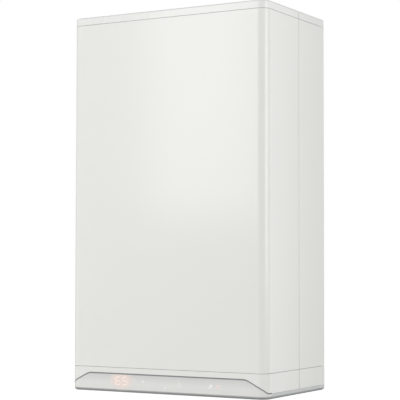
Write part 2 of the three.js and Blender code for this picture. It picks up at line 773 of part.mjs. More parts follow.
const flueAxis = [0, -FLUE_SETBACK, 0];

function flueSocket() {
  const top = CASE_HEIGHT + FLUE_COLLAR_RISE;
  const bottom = CASE_HEIGHT - FLUE_COLLAR_DROP;
  const outer = sleeve(FLUE_OUTER_BORE / 2 + FLUE_WALL, FLUE_OUTER_BORE / 2, flueAxis, UP,
    bottom, top, LARGE_ROUND);
  const inner = sleeve(FLUE_INNER_BORE / 2 + FLUE_WALL, FLUE_INNER_BORE / 2, flueAxis, UP,
    bottom, top - FLUE_WALL, ROUND);
  const flange = sleeve(FLUE_FLANGE / 2, FLUE_OUTER_BORE / 2 + 1, flueAxis, UP,
    topPlateTop + FIT, topPlateTop + FIT + FLUE_WALL, LARGE_ROUND);
  const webInner = FLUE_INNER_BORE / 2 + 1;
  const webOuter = FLUE_OUTER_BORE / 2 + 1;
  const webs = [0, 1, 2, 3].map((i) => {
    const web = new THREE.BoxGeometry(webOuter - webInner, FLUE_WALL, FLUE_COLLAR_DROP / 2);
    web.translate((webInner + webOuter) / 2, 0, bottom + FLUE_COLLAR_DROP / 4);
    web.rotateZ(Math.PI / 4 + (i * Math.PI) / 2);
    web.translate(0, -FLUE_SETBACK, 0);
    return solidOf(web);
  });
  return union(outer, inner, flange, ...webs);
}

/** Exhaust pipe from the exchanger's spigot up into the socket's inner bore. */
function fluePipe() {
  return sleeve(FLUE_PIPE / 2, FLUE_PIPE / 2 - FLUE_PIPE_WALL, flueAxis, UP,
    spigotTop - SPIGOT_DEPTH + FIT, CASE_HEIGHT - FLUE_COLLAR_DROP / 3, ROUND);
}

function hxHousing() {
  const [r, back, front] = [HX_RADIUS, HX_SETBACK, hxFront];
  const rim = front - HX_FLANGE_THICKNESS;
  const beads = [0.35, 0.75].flatMap((share) => {
    const start = back + HX_DOME + share * (rim - back - HX_DOME) - 2 * HX_BEAD;
    return [[r, start], [r + HX_BEAD, start + HX_BEAD], [r + HX_BEAD, start + 3 * HX_BEAD],
      [r, start + 4 * HX_BEAD]];
  });
  const inside = r - HX_WALL;
  const cup = turned([
    [0, back], [r - HX_DOME, back], [r - HX_DOME * 0.3, back + HX_DOME * 0.3], [r, back + HX_DOME],
    ...beads, [r, rim], [r + HX_FLANGE, rim], [r + HX_FLANGE, front], [inside, front],
    [inside, back + HX_DOME + 1], [r - HX_DOME - 1, back + HX_WALL], [0, back + HX_WALL],
  ], hxAxis, FORWARD, LARGE_ROUND);
  const chamber = bar(inside, hxAxis, FORWARD, back + HX_WALL, front, LARGE_ROUND);
  const spigot = bar(FLUE_PIPE / 2 + FIT + HX_WALL, flueAxis, UP, hxZ + HX_RADIUS / 2, spigotTop, ROUND);
  const drainAxis = [HX_X, -DRAIN_SETBACK, 0];
  const drainBottom = hxZ - HX_RADIUS - DRAIN_RADIUS;
  const drain = bar(DRAIN_RADIUS, drainAxis, UP, drainBottom, hxZ - HX_RADIUS / 2, SMALL_ROUND);
  const outside = union(cup, spigot.subtract(chamber), drain.subtract(chamber), ...hxFeet());
  return outside.subtract(union(
    hole(FLUE_PIPE / 2 + FIT, flueAxis, UP, spigotTop - SPIGOT_DEPTH, spigotTop + 1, ROUND),
    bar(FLUE_PIPE / 2 - FLUE_PIPE_WALL, flueAxis, UP, hxZ + HX_RADIUS / 2, spigotTop, ROUND),
    bar(DRAIN_RADIUS - HX_WALL, drainAxis, UP, drainBottom - 1, hxZ, SMALL_ROUND),
    ...[[1, coilStart], [-1, coilEnd]].map(([sign, setback]) => hole(COIL_TUBE / 2 + FIT,
      [0, -setback, hxZ + sign * COIL_RADIUS], RIGHT, HX_X, headerX, SMALL_ROUND)),
  ));
}

/** Four feet that carry the exchanger on the back plate. */
function hxFeet() {
  const spread = HX_RADIUS * 0.55;
  return [[-1, -1], [-1, 1], [1, -1], [1, 1]].map(([a, b]) => {
    const [x, z] = [HX_X + a * spread, hxZ + b * spread];
    return block([x - 9, x + 9], [-HX_SETBACK - HX_WALL / 2, backFace - FIT], [z - 9, z + 9]);
  });
}

/** Exchanger coil: in along the top, round the chamber and out along the bottom. */
function hxCoil() {
  const perTurn = 14;
  const steps = Math.round(coilTurns * perTurn);
  const inlet = headerX - FIT;
  const stations = [{
    place: new THREE.Vector3(inlet, -coilStart, hxZ + COIL_RADIUS), way: LEFT,
  }];
  for (let k = 0; k <= steps; k += 1) {
    const angle = Math.PI / 2 + (2 * Math.PI * k) / perTurn;
    const setback = coilStart + (COIL_PITCH * k) / perTurn;
    stations.push({
      place: new THREE.Vector3(HX_X + COIL_RADIUS * Math.cos(angle), -setback,
        hxZ + COIL_RADIUS * Math.sin(angle)),
      way: new THREE.Vector3(-Math.sin(angle), -COIL_PITCH / (2 * Math.PI * COIL_RADIUS),
        Math.cos(angle)).normalize(),
    });
  }
  stations.push({ place: new THREE.Vector3(inlet, -coilEnd, hxZ - COIL_RADIUS), way: RIGHT });
  return swept(ringShape(COIL_TUBE / 2, 0, 6), stations);
}

/** Cast header that joins the coil's two ends to the water pipes. */
function hxHeader() {
  const boss = (setback, sign) => bar(HEADER_BOSS, [0, -setback, hxZ + sign * COIL_RADIUS], RIGHT,
    headerX, headerEnd);
  const half = HEADER_BOSS * 0.8;
  const web = outlineOf([
    [-coilStart - half, hxZ + COIL_RADIUS], [-coilStart + half, hxZ + COIL_RADIUS],
    [-coilEnd + half, hxZ - COIL_RADIUS], [-coilEnd - half, hxZ - COIL_RADIUS],
  ]);
  return union(boss(coilStart, 1), boss(coilEnd, -1), prism(web, 'side', headerX, HEADER_BOSS * 0.7));
}

function doorGasket() {
  return sleeve(HX_RADIUS + HX_FLANGE, HX_RADIUS - 2, hxAxis, FORWARD,
    hxFront + FIT, hxFront + FIT + GASKET_THICKNESS, LARGE_ROUND);
}

function burnerDoor() {
  const [rim, back, front] = [HX_RADIUS + HX_FLANGE, doorBack, doorFront];
  const plate = back + doorPlate;
  const boss = DUCT_RADIUS + 10;
  const disc = turned([
    [0, back], [rim, back], [rim, plate], [rim - 12, plate], [rim - 22, plate + 4],
    [boss + 16, plate + 4], [boss + 6, plate], [boss, plate], [boss, front], [0, front],
  ], hxAxis, FORWARD, LARGE_ROUND);
  const ribs = [...Array(DOOR_RIBS).keys()].map((i) => {
    const rib = new THREE.BoxGeometry(rim - boss - 14, front - plate - 2, 4);
    rib.translate((rim - 16 + boss) / 2, -(front + plate - 2) / 2, 0);
    rib.rotateY(((2 * i + 1) * Math.PI) / DOOR_RIBS);
    rib.translate(HX_X, 0, hxZ);
    return solidOf(rib);
  });
  const bore = bar(DUCT_RADIUS - DUCT_WALL, hxAxis, FORWARD, back - 1, front + 1, ROUND);
  const seat = electrodeBase(FIT, -1);
  const holes = electrodeXs().map((x) => hole(4 + FIT, [x, 0, hxZ + ELECTRODE_Z], FORWARD,
    back - 1, front + 1, 8));
  return union(disc, ...ribs).subtract(union(bore, seat, ...holes));
}

/** The two electrodes' places across. */
function electrodeXs() {
  const middle = HX_X + ELECTRODE_X;
  return [middle - ELECTRODE_PITCH / 2, middle + ELECTRODE_PITCH / 2];
}

const electrodeSeat = doorBack + doorPlate; // face that the holder sits on

/** Holder plate of the electrodes; grown, it is the pocket cut for it in the door. */
function electrodeBase(grow, sink) {
  const [x, z] = [HX_X + ELECTRODE_X, hxZ + ELECTRODE_Z];
  const outline = roundedRect(x - 18 - grow, x + 18 + grow, z - 9 - grow, z + 9 + grow, 6);
  const start = electrodeSeat + (sink < 0 ? 0 : FIT);
  return prism(outline, 'front', -start, sink < 0 ? DOOR_THICKNESS : 4, 0, 2);
}

function electrodePair() {
  const z = hxZ + ELECTRODE_Z;
  const post = electrodeSeat + 18;
  const parts = electrodeXs().flatMap((x) => [
    bar(4, [x, 0, z], FORWARD, doorBack - 8, post, 8),
    bar(1.5, [x, 0, z], FORWARD, doorBack - ELECTRODE_REACH, doorBack, 6),
  ]);
  const [, terminalX] = electrodeXs();
  const terminal = bar(4, [terminalX, -(post - 4), 0], UP, z - 3, z + 16, 8);
  return union(electrodeBase(0, 1), ...parts, terminal);
}

function burnerTube() {
  const [end, root] = [doorBack - FIT - BURNER_LENGTH, doorBack - FIT];
  const inside = BURNER_RADIUS - BURNER_WALL;
  return turned([
    [0, end], [BURNER_RADIUS - 4, end], [BURNER_RADIUS, end + 4], [BURNER_RADIUS, root - 2],
    [BURNER_RADIUS + 6, root - 2], [BURNER_RADIUS + 6, root], [inside, root],
    [inside, end + 4], [inside - 4, end + BURNER_WALL], [0, end + BURNER_WALL],
  ], hxAxis, FORWARD);
}

// ---------------------------------------------------------------------------------------
// Fan, mixer and gas line

const fanX = HX_X - SCROLL_END + FAN_OUTLET / 2;
const fanZ = hxZ - FAN_DROP;
const fanAxis = [fanX, 0, fanZ];
const outletTop = fanZ + FAN_OUTLET_RISE;
const impellerBack = fanBack + FAN_WALL + IMPELLER_GAP;
const impellerFront = fanFront - FAN_WALL - IMPELLER_GAP;

/** Scroll seen from the front: a widening spiral that runs out into the outlet. */
function scrollOutline(grow, top) {
  const left = SCROLL_END - FAN_OUTLET - grow;
  const startAngle = Math.acos(left / (SCROLL_START + grow));
  const steps = 20;
  const corners = [];
  for (let k = 0; k <= steps; k += 1) {
    const share = k / steps;
    const angle = startAngle + share * (2 * Math.PI - startAngle);
    const radius = SCROLL_START + share * (SCROLL_END - SCROLL_START) + grow;
    corners.push([fanX + radius * Math.cos(angle), fanZ + radius * Math.sin(angle)]);
  }
  corners.push([fanX + SCROLL_END + grow, top], [fanX + left, top]);
  return outlineOf(corners);
}

function fanHousing() {
  const body = prism(scrollOutline(FAN_WALL, outletTop), 'front', -fanBack, FAN_WIDTH);
  const chamber = prism(scrollOutline(0, outletTop + 1), 'front', -(fanBack + FAN_WALL),
    FAN_WIDTH - 2 * FAN_WALL);
  const flangeHalf = FAN_OUTLET / 2 + FAN_WALL + 4;
  const flange = block([HX_X - flangeHalf, HX_X + flangeHalf], [-fanBack, -fanFront],
    [outletTop - 4, outletTop]);
  const collar = bar(FAN_SHAFT / 2 + 6, fanAxis, FORWARD, fanBack, fanBack + FAN_WALL + 2, SMALL_ROUND);
  return union(body, flange).subtract(chamber).add(collar).subtract(union(
    bar(FAN_INLET / 2, fanAxis, FORWARD, fanFront - FAN_WALL - 1, fanFront + 1, ROUND),
    hole(FAN_SHAFT / 2 + FIT, fanAxis, FORWARD, fanBack - 1, fanBack + FAN_WALL + 3),
  ));
}

/** Backward-curved blade between its root and its tip, seen from the front. */
function bladeOutline(turn) {
  const steps = 3;
  const edge = (offset) => Array.from({ length: steps + 1 }, (_, k) => {
    const share = k / steps;
    const radius = BLADE_ROOT + share * (IMPELLER_RADIUS - BLADE_ROOT);
    const angle = turn + 0.9 * share ** 1.3 + offset / radius;
    return [fanX + radius * Math.cos(angle), fanZ + radius * Math.sin(angle)];
  });
  return outlineOf([...edge(-BLADE_THICKNESS / 2), ...edge(BLADE_THICKNESS / 2).reverse()]);
}

function fanImpeller() {
  const disc = 2;
  const plate = bar(IMPELLER_RADIUS, fanAxis, FORWARD, impellerBack, impellerBack + disc, ROUND);
  const shroud = sleeve(IMPELLER_RADIUS, FAN_INLET / 2 + 1, fanAxis, FORWARD,
    impellerFront - disc, impellerFront, ROUND);
  const hub = turned([[0, impellerBack], [IMPELLER_HUB, impellerBack], [IMPELLER_HUB, impellerBack + 12],
    [IMPELLER_HUB - 4, impellerFront - 6], [0, impellerFront - 4]], fanAxis, FORWARD, SMALL_ROUND);
  const shaft = bar(FAN_SHAFT / 2, fanAxis, FORWARD, fanBack - FAN_MOTOR_LENGTH / 2, impellerBack + 6);
  const blades = [...Array(BLADE_COUNT).keys()].map((i) => prism(
    bladeOutline((2 * Math.PI * i) / BLADE_COUNT), 'front', -(impellerBack + disc / 2),
    impellerFront - impellerBack - disc));
  return union(plate, shroud, hub, shaft, ...blades);
}

function fanMotor() {
  const [front, back] = [fanBack - FIT, fanBack - FIT - FAN_MOTOR_LENGTH];
  const r = FAN_MOTOR_RADIUS;
  const can = turned([[0, back], [r - 12, back], [r - 8, back + 3], [r - 8, back + 18], [r, back + 22],
    [r, front - 4], [r + 5, front - 4], [r + 5, front], [0, front]], fanAxis, FORWARD);
  const plug = block([fanX - 11, fanX + 11], [-(back + 6), -(back + 20)], [fanZ + r - 14, fanZ + r + 4]);
  const bearing = hole(FAN_SHAFT / 2 + FIT, fanAxis, FORWARD,
    fanBack - FAN_MOTOR_LENGTH / 2 - FIT, front + 1);
  return union(can, plug).subtract(bearing);
}

/** Duct from the fan's outlet up to the burner door, with its lower flange. */
function mixingDuct() {
  const start = outletTop + FIT;
  const corners = [[HX_X, -fanMiddle, start], [HX_X, -fanMiddle, hxZ], [HX_X, -(doorFront + FIT), hxZ]];
  const wall = pipe(DUCT_RADIUS, corners, DUCT_BEND - WELD, DUCT_RADIUS - DUCT_WALL, 14);
  const flangeHalf = FAN_OUTLET / 2 + FAN_WALL + 4;
  const flange = block([HX_X - flangeHalf, HX_X + flangeHalf], [-fanBack, -fanFront], [start, start + 4]);
  const hole = bar(DUCT_RADIUS - 0.5, [HX_X, -fanMiddle, 0], UP, start - 1, start + 5, 16);
  return union(wall, flange.subtract(hole));
}

const portSetback = (mixerFront + fanFront + FIT) / 2 + 2;
const portEnd = fanX + MIXER_FLANGE + 14;

/** Mixer in front of the fan's inlet: flange, bell mouth and the port for gas. */
function venturiMixer() {
  const [back, front] = [fanFront + FIT, mixerFront];
  const throat = MIXER_THROAT / 2;
  const body = turned([
    [throat + 3, back], [MIXER_FLANGE, back], [MIXER_FLANGE, back + 4], [throat + 8, back + 5],
    [throat + 8, front - 3], [throat + 11, front - 1], [throat + 9, front], [throat + 4, front - 2],
    [throat, front - 8], [throat, back + 6], [throat + 3, back],
  ], fanAxis, FORWARD);
  const port = bar(GAS_PORT / 2 + 2, [0, -portSetback, fanZ], RIGHT, fanX + throat + 1, portEnd);
  const bore = bar(GAS_PORT / 2 - 1.5, [0, -portSetback, fanZ], RIGHT, fanX + throat - 2, portEnd + 1);
  return union(body, port).subtract(bore);
}

const valveZ = fanZ;
const valveBottom = valveZ - VALVE_HEIGHT / 2;
const valveLeft = VALVE_X - VALVE_WIDTH / 2;
const valveMiddle = VALVE_SETBACK + VALVE_DEPTH / 2;

function gasValve() {
  const body = prism(
    roundedRect(valveLeft, valveLeft + VALVE_WIDTH, valveBottom + 14, valveZ + VALVE_HEIGHT / 2, 8),
    'front', -VALVE_SETBACK, VALVE_DEPTH, 2, 1);
  const inlet = bar(GAS_PIPE / 2 + 5, [VALVE_X, -valveMiddle, 0], UP, valveBottom, valveBottom + 18, 6);
  const outlet = bar(GAS_PORT / 2 + 3, [0, -(VALVE_SETBACK + VALVE_DEPTH - 14), valveZ], LEFT,
    -valveLeft - 4, -valveLeft + GAS_STUB);
  const governor = turned([[0, 0], [15, 0], [15, 6], [9, 10], [9, 16], [0, 16]],
    [VALVE_X + 16, -(VALVE_SETBACK + VALVE_DEPTH - 1), valveZ - 12], FORWARD, SMALL_ROUND);
  const tapping = bar(5, [VALVE_X - 20, -(VALVE_SETBACK + VALVE_DEPTH - 1), valveZ - 12], FORWARD,
    0, 10, SMALL_ROUND);
  return union(body, inlet, outlet, governor, tapping);
}

/** Pair of solenoid cans on a common yoke, on top of the valve. */
function gasValveSolenoid() {
  const base = valveZ + VALVE_HEIGHT / 2 + FIT;
  const cans = [-1, 1].map((sign) => turned([
    [0, base + 2], [SOLENOID_RADIUS, base + 2], [SOLENOID_RADIUS, base + SOLENOID_LENGTH - 3],
    [SOLENOID_RADIUS - 3, base + SOLENOID_LENGTH], [0, base + SOLENOID_LENGTH],
  ], [VALVE_X + sign * 16, -valveMiddle, 0], UP, 16));
  const yoke = block([VALVE_X - 32, VALVE_X + 32], [-valveMiddle - 18, -valveMiddle + 18],
    [base, base + 5]);
  return union(yoke, ...cans);
}

function gasInletPipe() {
  const run = pipe(GAS_PIPE / 2, [
    [TAILS.gas.x, -PIPE_SETBACK, -TAIL_DROP], [TAILS.gas.x, -PIPE_SETBACK, GAS_CROSS_HEIGHT],
    [TAILS.gas.x, -valveMiddle, GAS_CROSS_HEIGHT], [VALVE_X, -valveMiddle, GAS_CROSS_HEIGHT],
    [VALVE_X, -valveMiddle, valveBottom - FIT],
  ], GAS_BEND);
  return run.subtract(tailBore(TAILS.gas, BLOCK_BOTTOM));
}

/** Thin pipe from the valve's outlet forward to the mixer's port. */
function gasOutletPipe() {
  const outletY = -(VALVE_SETBACK + VALVE_DEPTH - 14);
  const bendX = valveLeft - GAS_STUB - FIT - GAS_PORT_BEND - 0.5;
  return pipe(GAS_PORT / 2, [
    [valveLeft - GAS_STUB - FIT, outletY, valveZ], [bendX, outletY, valveZ], [bendX, -portSetback, valveZ],
    [portEnd + FIT, -portSetback, valveZ],
  ], GAS_PORT_BEND);
}

// ---------------------------------------------------------------------------------------
// Ignition

const ignitionX = electrodeXs()[1];
const ignitionTop = CASE_HEIGHT - IGNITION_DROP;
const leadZ = ignitionTop - IGNITION_HEIGHT / 2;
const ignitionFront = backFace - FIT - IGNITION_DEPTH;

function ignitionUnit() {
  const half = IGNITION_WIDTH / 2;
  const body = prism(roundedRect(ignitionX - half, ignitionX + half, ignitionTop - IGNITION_HEIGHT,
    ignitionTop, 4), 'front', backFace - FIT, IGNITION_DEPTH, 1.5, 1);
  const ears = block([ignitionX - half - 10, ignitionX + half + 10], [backFace - FIT, backFace - FIT - 3],
    [leadZ - 9, leadZ + 9]);
  const terminal = bar(LEAD_DIAMETER / 2 + 2, [ignitionX, ignitionFront + 1, leadZ], FORWARD, 0, 9, 8);
  return union(body, ears, terminal);
}

function ignitionLead() {
  const post = electrodeSeat + 14;
  return pipe(LEAD_DIAMETER / 2, [
    [ignitionX, ignitionFront - 8 - FIT, leadZ], [ignitionX, -post, leadZ],
    [ignitionX, -post, hxZ + ELECTRODE_Z + 16 + FIT],
  ], 18, 0, 6);
}

// ---------------------------------------------------------------------------------------
// Water blocks, plate exchanger and pump

const blockAxis = (x) => [x, -PIPE_SETBACK, 0];
const armInnerEnd = tailPitch - ARM_INNER_GAP; // from the middle to each block's free end

/** Pipe tail under a water block, bored from below. */
function tail({ x, bore }, top) {
  return bar(bore / 2, blockAxis(x), UP, -TAIL_DROP, top);
}

function tailBore({ x, bore }, top) {
  return bar(bore / 2 - TAIL_WALL, blockAxis(x), UP, -TAIL_DROP - 1, top);
}

/** Barrel of a water block with its hexagon collar, arm and foot on the back plate. */
function blockBody(x, armEnd) {
  const barrel = turned([
    [0, BLOCK_BOTTOM], [BLOCK_RADIUS - 4, BLOCK_BOTTOM], [BLOCK_RADIUS, BLOCK_BOTTOM + 6],
    [BLOCK_RADIUS, BLOCK_TOP - 8], [BLOCK_RADIUS - 3, BLOCK_TOP - 6], [BLOCK_RADIUS - 3, BLOCK_TOP],
    [0, BLOCK_TOP],
  ], blockAxis(x), UP, ROUND);
  const collar = bar(BLOCK_RADIUS - 2, blockAxis(x), UP, BLOCK_BOTTOM - 10, BLOCK_BOTTOM + 2, 6);
  const arm = prism(roundedRect(Math.min(x, armEnd), Math.max(x, armEnd), ARM_BOTTOM,
    ARM_BOTTOM + ARM_HEIGHT, 6), 'front', -PIPE_SETBACK + BLOCK_RADIUS * 0.75,
  BLOCK_FRONT - PIPE_SETBACK + BLOCK_RADIUS * 0.75, 0, 2);
  const foot = block([x - BLOCK_FOOT / 2, x + BLOCK_FOOT / 2],
    [-PIPE_SETBACK + BLOCK_RADIUS / 2, backFace - FIT], [ARM_BOTTOM - 35, ARM_BOTTOM - 5]);
  return union(barrel, collar, arm, foot);
}

function flowBlock() {
  const { flow, hotWater } = TAILS;
  const inletX = flow.x - FLOW_INLET_REACH;
  const inlet = union(
    bar(13, [0, -PIPE_SETBACK, FLOW_INLET_TOP - 14], LEFT, -flow.x, -inletX, SMALL_ROUND),
    bar(13, blockAxis(inletX), UP, FLOW_INLET_TOP - 27, FLOW_INLET_TOP, SMALL_ROUND),
  );
  const body = union(blockBody(flow.x, -armInnerEnd), inlet, tail(flow, BLOCK_BOTTOM + 2),
    tail(hotWater, ARM_BOTTOM + 2));
  return body.subtract(union(
    tailBore(flow, BLOCK_BOTTOM + 30), tailBore(hotWater, ARM_BOTTOM + 20),
    hole(DIVERTER_BORE / 2, blockAxis(flow.x), UP, spindleBottom - DIVERTER_TRAVEL - 2, BLOCK_TOP + 1, 12),
  ));
}

const spindleBottom = BLOCK_TOP - 72;

/** Diverter stem with its two plugs, drawn raised. */
function diverterSpindle() {
  const stem = DIVERTER_STEM / 2;
  const plug = DIVERTER_BORE / 2 - FIT;
  const plugAt = (level) => [[stem, level], [plug - 2, level], [plug, level + 2], [plug, level + 6],
    [plug - 2, level + 8], [stem, level + 8]];
  return turned([
    [0, spindleBottom], [stem, spindleBottom], ...plugAt(spindleBottom + 6), ...plugAt(spindleBottom + 42),
    [stem, BLOCK_TOP + DIVERTER_TRAVEL + 2], [0, BLOCK_TOP + DIVERTER_TRAVEL + 2],
  ], blockAxis(TAILS.flow.x), UP, 12);
}

function diverterActuator() {
  const { x } = TAILS.flow;
  const half = ACTUATOR_SIZE / 2;
  const base = BLOCK_TOP + FIT;
  const body = prism(roundedRect(x - half, x + half, -PIPE_SETBACK - half, -PIPE_SETBACK + half, 6),
    'top', base + 4, ACTUATOR_HEIGHT - 4, 2, 1);
  const nut = bar(BLOCK_RADIUS - 3, blockAxis(x), UP, base, base + 7, 8);
  const plug = block([x - 8, x + 8], [-PIPE_SETBACK - half - 9, -PIPE_SETBACK - half + 2],
    [base + 20, base + 32]);
  const bore = hole(DIVERTER_STEM / 2 + FIT, blockAxis(x), UP, base - 1,
    BLOCK_TOP + DIVERTER_TRAVEL + 4);
  return union(body, nut, plug).subtract(bore);
}

function returnBlock() {
  const tailPlace = TAILS.return;
  const body = blockBody(tailPlace.x, armInnerEnd);
  const pumpPad = block([tailPlace.x - BLOCK_RADIUS, tailPlace.x + BLOCK_RADIUS],
    [-BLOCK_FRONT, -PIPE_SETBACK], [PUMP_Z - BLOCK_RADIUS, PUMP_Z + BLOCK_RADIUS]);
  const reliefBoss = bar(RELIEF_RADIUS, [tailPlace.x, -PIPE_SETBACK, PUMP_Z], RIGHT, 0, BLOCK_RADIUS + 2);
  const hoseUnion = bar(VESSEL_HOSE / 2 + 3, blockAxis(tailPlace.x), UP, BLOCK_TOP - 1, BLOCK_TOP + 8, 6);
  return union(body, pumpPad, reliefBoss, hoseUnion, tail(tailPlace, BLOCK_BOTTOM + 2))
    .subtract(tailBore(tailPlace, BLOCK_BOTTOM + 30));
}

/** Brazed stack of plates: a core with every plate's edge standing out from it. */
function plateExchanger() {
  const [left, right] = [TAILS.flow.x + PHE_LEFT_GAP, TAILS.return.x - PHE_RIGHT_GAP];
  const top = PHE_BOTTOM + PHE_HEIGHT;
  const rear = -(BLOCK_FRONT + FIT);
  const depth = (PHE_PLATES - 1) * PHE_PITCH + PHE_PLATE;
  const core = prism(roundedRect(left + 2, right - 2, PHE_BOTTOM + 2, top - 2, 12), 'front',
    rear, depth, 0, 1);
  const plates = [...Array(PHE_PLATES).keys()].map((i) => prism(
    roundedRect(left, right, PHE_BOTTOM, top, 14), 'front', rear - i * PHE_PITCH, PHE_PLATE, 0, 1));
  return union(core, ...plates);
}

const pumpBack = BLOCK_FRONT + FIT;
const pumpFront = pumpBack + PUMP_DEPTH;
const pumpAxis = [TAILS.return.x, 0, PUMP_Z];
const pumpPortTop = PUMP_Z + PUMP_RADIUS;
const pumpPortSetback = pumpBack + PUMP_PORT + 2;

function pumpHousing() {
  const [r, inside] = [PUMP_RADIUS, PUMP_RADIUS - PUMP_WALL];
  const bowl = turned([
    [0, pumpBack], [r - 12, pumpBack], [r - 3, pumpBack + 5], [r, pumpBack + 12], [r, pumpFront],
    [inside, pumpFront], [inside, pumpBack + 12], [inside - 6, pumpBack + PUMP_WALL],
    [0, pumpBack + PUMP_WALL],
  ], pumpAxis, FORWARD);
  const chamber = bar(inside, pumpAxis, FORWARD, pumpBack + PUMP_WALL, pumpFront, ROUND);
  const portAxis = [TAILS.return.x, -pumpPortSetback, 0];
  const port = bar(PUMP_PORT, portAxis, UP, PUMP_Z + inside - 8, pumpPortTop).subtract(chamber);
  return union(bowl, port).subtract(union(
    bar(HX_PIPE / 2 - HX_PIPE_WALL, portAxis, UP, PUMP_Z + inside / 2, pumpPortTop + 1),
    bar(HX_PIPE / 2, pumpAxis, FORWARD, pumpBack - 1, pumpBack + PUMP_WALL + 1),
  ));
}

function pumpImpeller() {
  const radius = PUMP_RADIUS - PUMP_WALL - 4;
  const [back, front] = [pumpBack + PUMP_WALL + 4, pumpFront - 5];
  const disc = bar(radius, pumpAxis, FORWARD, front - 3, front, ROUND);
  const shaft = bar(PUMP_SHAFT / 2, pumpAxis, FORWARD, back, pumpFront + MOTOR_LENGTH / 4);
  const [x, z] = [pumpAxis[0], pumpAxis[2]];
  const blades = [...Array(PUMP_BLADES).keys()].map((i) => {
    const turn = (2 * Math.PI * i) / PUMP_BLADES;
    const edge = (offset) => [0, 1, 2].map((k) => {
      const r = PUMP_SHAFT / 2 + 6 + (k / 2) * (radius - PUMP_SHAFT / 2 - 6.5);
      const angle = turn + 0.5 * k + offset / r;
      return [x + r * Math.cos(angle), z + r * Math.sin(angle)];
    });
    return prism(outlineOf([...edge(-1), ...edge(1).reverse()]), 'front', -back, front - 2 - back);
  });
  return union(disc, shaft, ...blades);
}

function pumpMotor() {
  const back = pumpFront + FIT;
  const front = back + MOTOR_LENGTH;
  const r = MOTOR_RADIUS;
  const can = turned([
    [0, back], [r + 2, back], [r + 2, back + 7], [r - 4, back + 8], [r - 4, back + 20], [r, back + 22],
    [r, front - 8], [r - 6, front - 2], [r - 14, front], [0, front],
  ], pumpAxis, FORWARD);
  const [x] = pumpAxis;
  const box = prism(roundedRect(x - r - 4, x - 8, PUMP_Z - 26, PUMP_Z + 26, 5), 'front',
    -(back + 24), MOTOR_LENGTH - 20, 2, 1);
  const screw = bar(9, pumpAxis, FORWARD, front - 1, front + 4, 8);
  const bearing = hole(PUMP_SHAFT / 2 + FIT, pumpAxis, FORWARD, back - 1, back + MOTOR_LENGTH / 4 + 1);
  return union(can, box, screw).subtract(bearing);
}

// ---------------------------------------------------------------------------------------
// Relief valve and flow sensor

const reliefStart = TAILS.return.x + BLOCK_RADIUS + 2 + FIT;
const reliefEnd = reliefStart + RELIEF_LENGTH;

function reliefValve() {
  const axis = [0, -PIPE_SETBACK, PUMP_Z];
  const body = turned([
    [0, reliefStart], [RELIEF_RADIUS, reliefStart], [RELIEF_RADIUS, reliefStart + 10],
    [RELIEF_RADIUS - 3, reliefStart + 12], [RELIEF_RADIUS - 3, reliefEnd], [0, reliefEnd],
  ], axis, RIGHT, 16);
  const outlet = tail(TAILS.discharge, PUMP_Z);
  return union(body, outlet).subtract(tailBore(TAILS.discharge, PUMP_Z - RELIEF_RADIUS));
}

/** Knob of the relief valve, turned to open it; its lobes give grip. */
function reliefKnob() {
  const lobes = 8;
  const start = reliefEnd + FIT;
  const outline = outlineOf([...Array(4 * lobes).keys()].map((i) => {
    const angle = (Math.PI * i) / (2 * lobes);
    const r = RELIEF_KNOB_RADIUS - (i % 4 > 1 ? 2 : 0);
    return [-PIPE_SETBACK + r * Math.cos(angle), PUMP_Z + r * Math.sin(angle)];
  }));
  return prism(outline, 'side', start, RELIEF_KNOB_LENGTH, 1.2);
}

function flowSensorBody() {
  const place = TAILS.coldWater;
  const top = ARM_BOTTOM - FIT;
  const body = turned([
    [0, SENSOR_BOTTOM], [SENSOR_RADIUS - 3, SENSOR_BOTTOM], [SENSOR_RADIUS, SENSOR_BOTTOM + 4],
    [SENSOR_RADIUS, top - 4], [SENSOR_RADIUS - 2, top], [0, top],
  ], blockAxis(place.x), UP, 16);
  const pickup = block([place.x - 9, place.x + 9], [-PIPE_SETBACK - SENSOR_RADIUS - 8, -PIPE_SETBACK],
    [SENSOR_BOTTOM + 26, SENSOR_BOTTOM + 44]);
  const chamber = hole(SENSOR_BORE / 2, blockAxis(place.x), UP, SENSOR_BOTTOM + 18, top - 14, 12);
  return union(body, pickup, tail(place, SENSOR_BOTTOM + 2))
    .subtract(union(chamber, tailBore(place, top + 1)));
}

function flowTurbine() {
  const { x } = TAILS.coldWater;
  const [bottom, top] = [SENSOR_BOTTOM + 22, ARM_BOTTOM - FIT - 18];
  const hub = turned([[0, bottom - 3], [3, bottom], [3, top], [0, top + 3]], blockAxis(x), UP, 8);
  const blades = [...Array(TURBINE_BLADES).keys()].map((i) => {
    const blade = new THREE.BoxGeometry(SENSOR_BORE, 1.2, top - bottom - 4);
    blade.translate(SENSOR_BORE / 2 + 1, 0, 0);
    blade.rotateX(TURBINE_PITCH);
    blade.rotateZ((2 * Math.PI * i) / TURBINE_BLADES);
    blade.translate(x, -PIPE_SETBACK, (bottom + top) / 2);
    return solidOf(blade);
  });
  const sweep = bar(SENSOR_BORE / 2 - 2 * FIT, blockAxis(x), UP, bottom - 4, top + 4, 12);
  return union(hub, ...blades).intersect(sweep);
}

// ---------------------------------------------------------------------------------------
// Water pipes

const riserX = headerEnd + FIT + HX_PIPE_BEND + 1;

function waterPipe(corners) {
  return pipe(HX_PIPE / 2, corners, HX_PIPE_BEND);
}

/** Hot water from the exchanger's upper end, down the right and across to the flow block. */
function hxFlowPipe() {
  const inletX = TAILS.flow.x - FLOW_INLET_REACH;
  const z = hxZ + COIL_RADIUS;
  return waterPipe([
    [headerEnd + FIT, -coilStart, z], [riserX, -coilStart, z], [riserX, -coilStart, FLOW_CROSS_HEIGHT],
    [inletX, -PIPE_SETBACK, FLOW_CROSS_HEIGHT], [inletX, -PIPE_SETBACK, FLOW_INLET_TOP + FIT],
  ]);
}

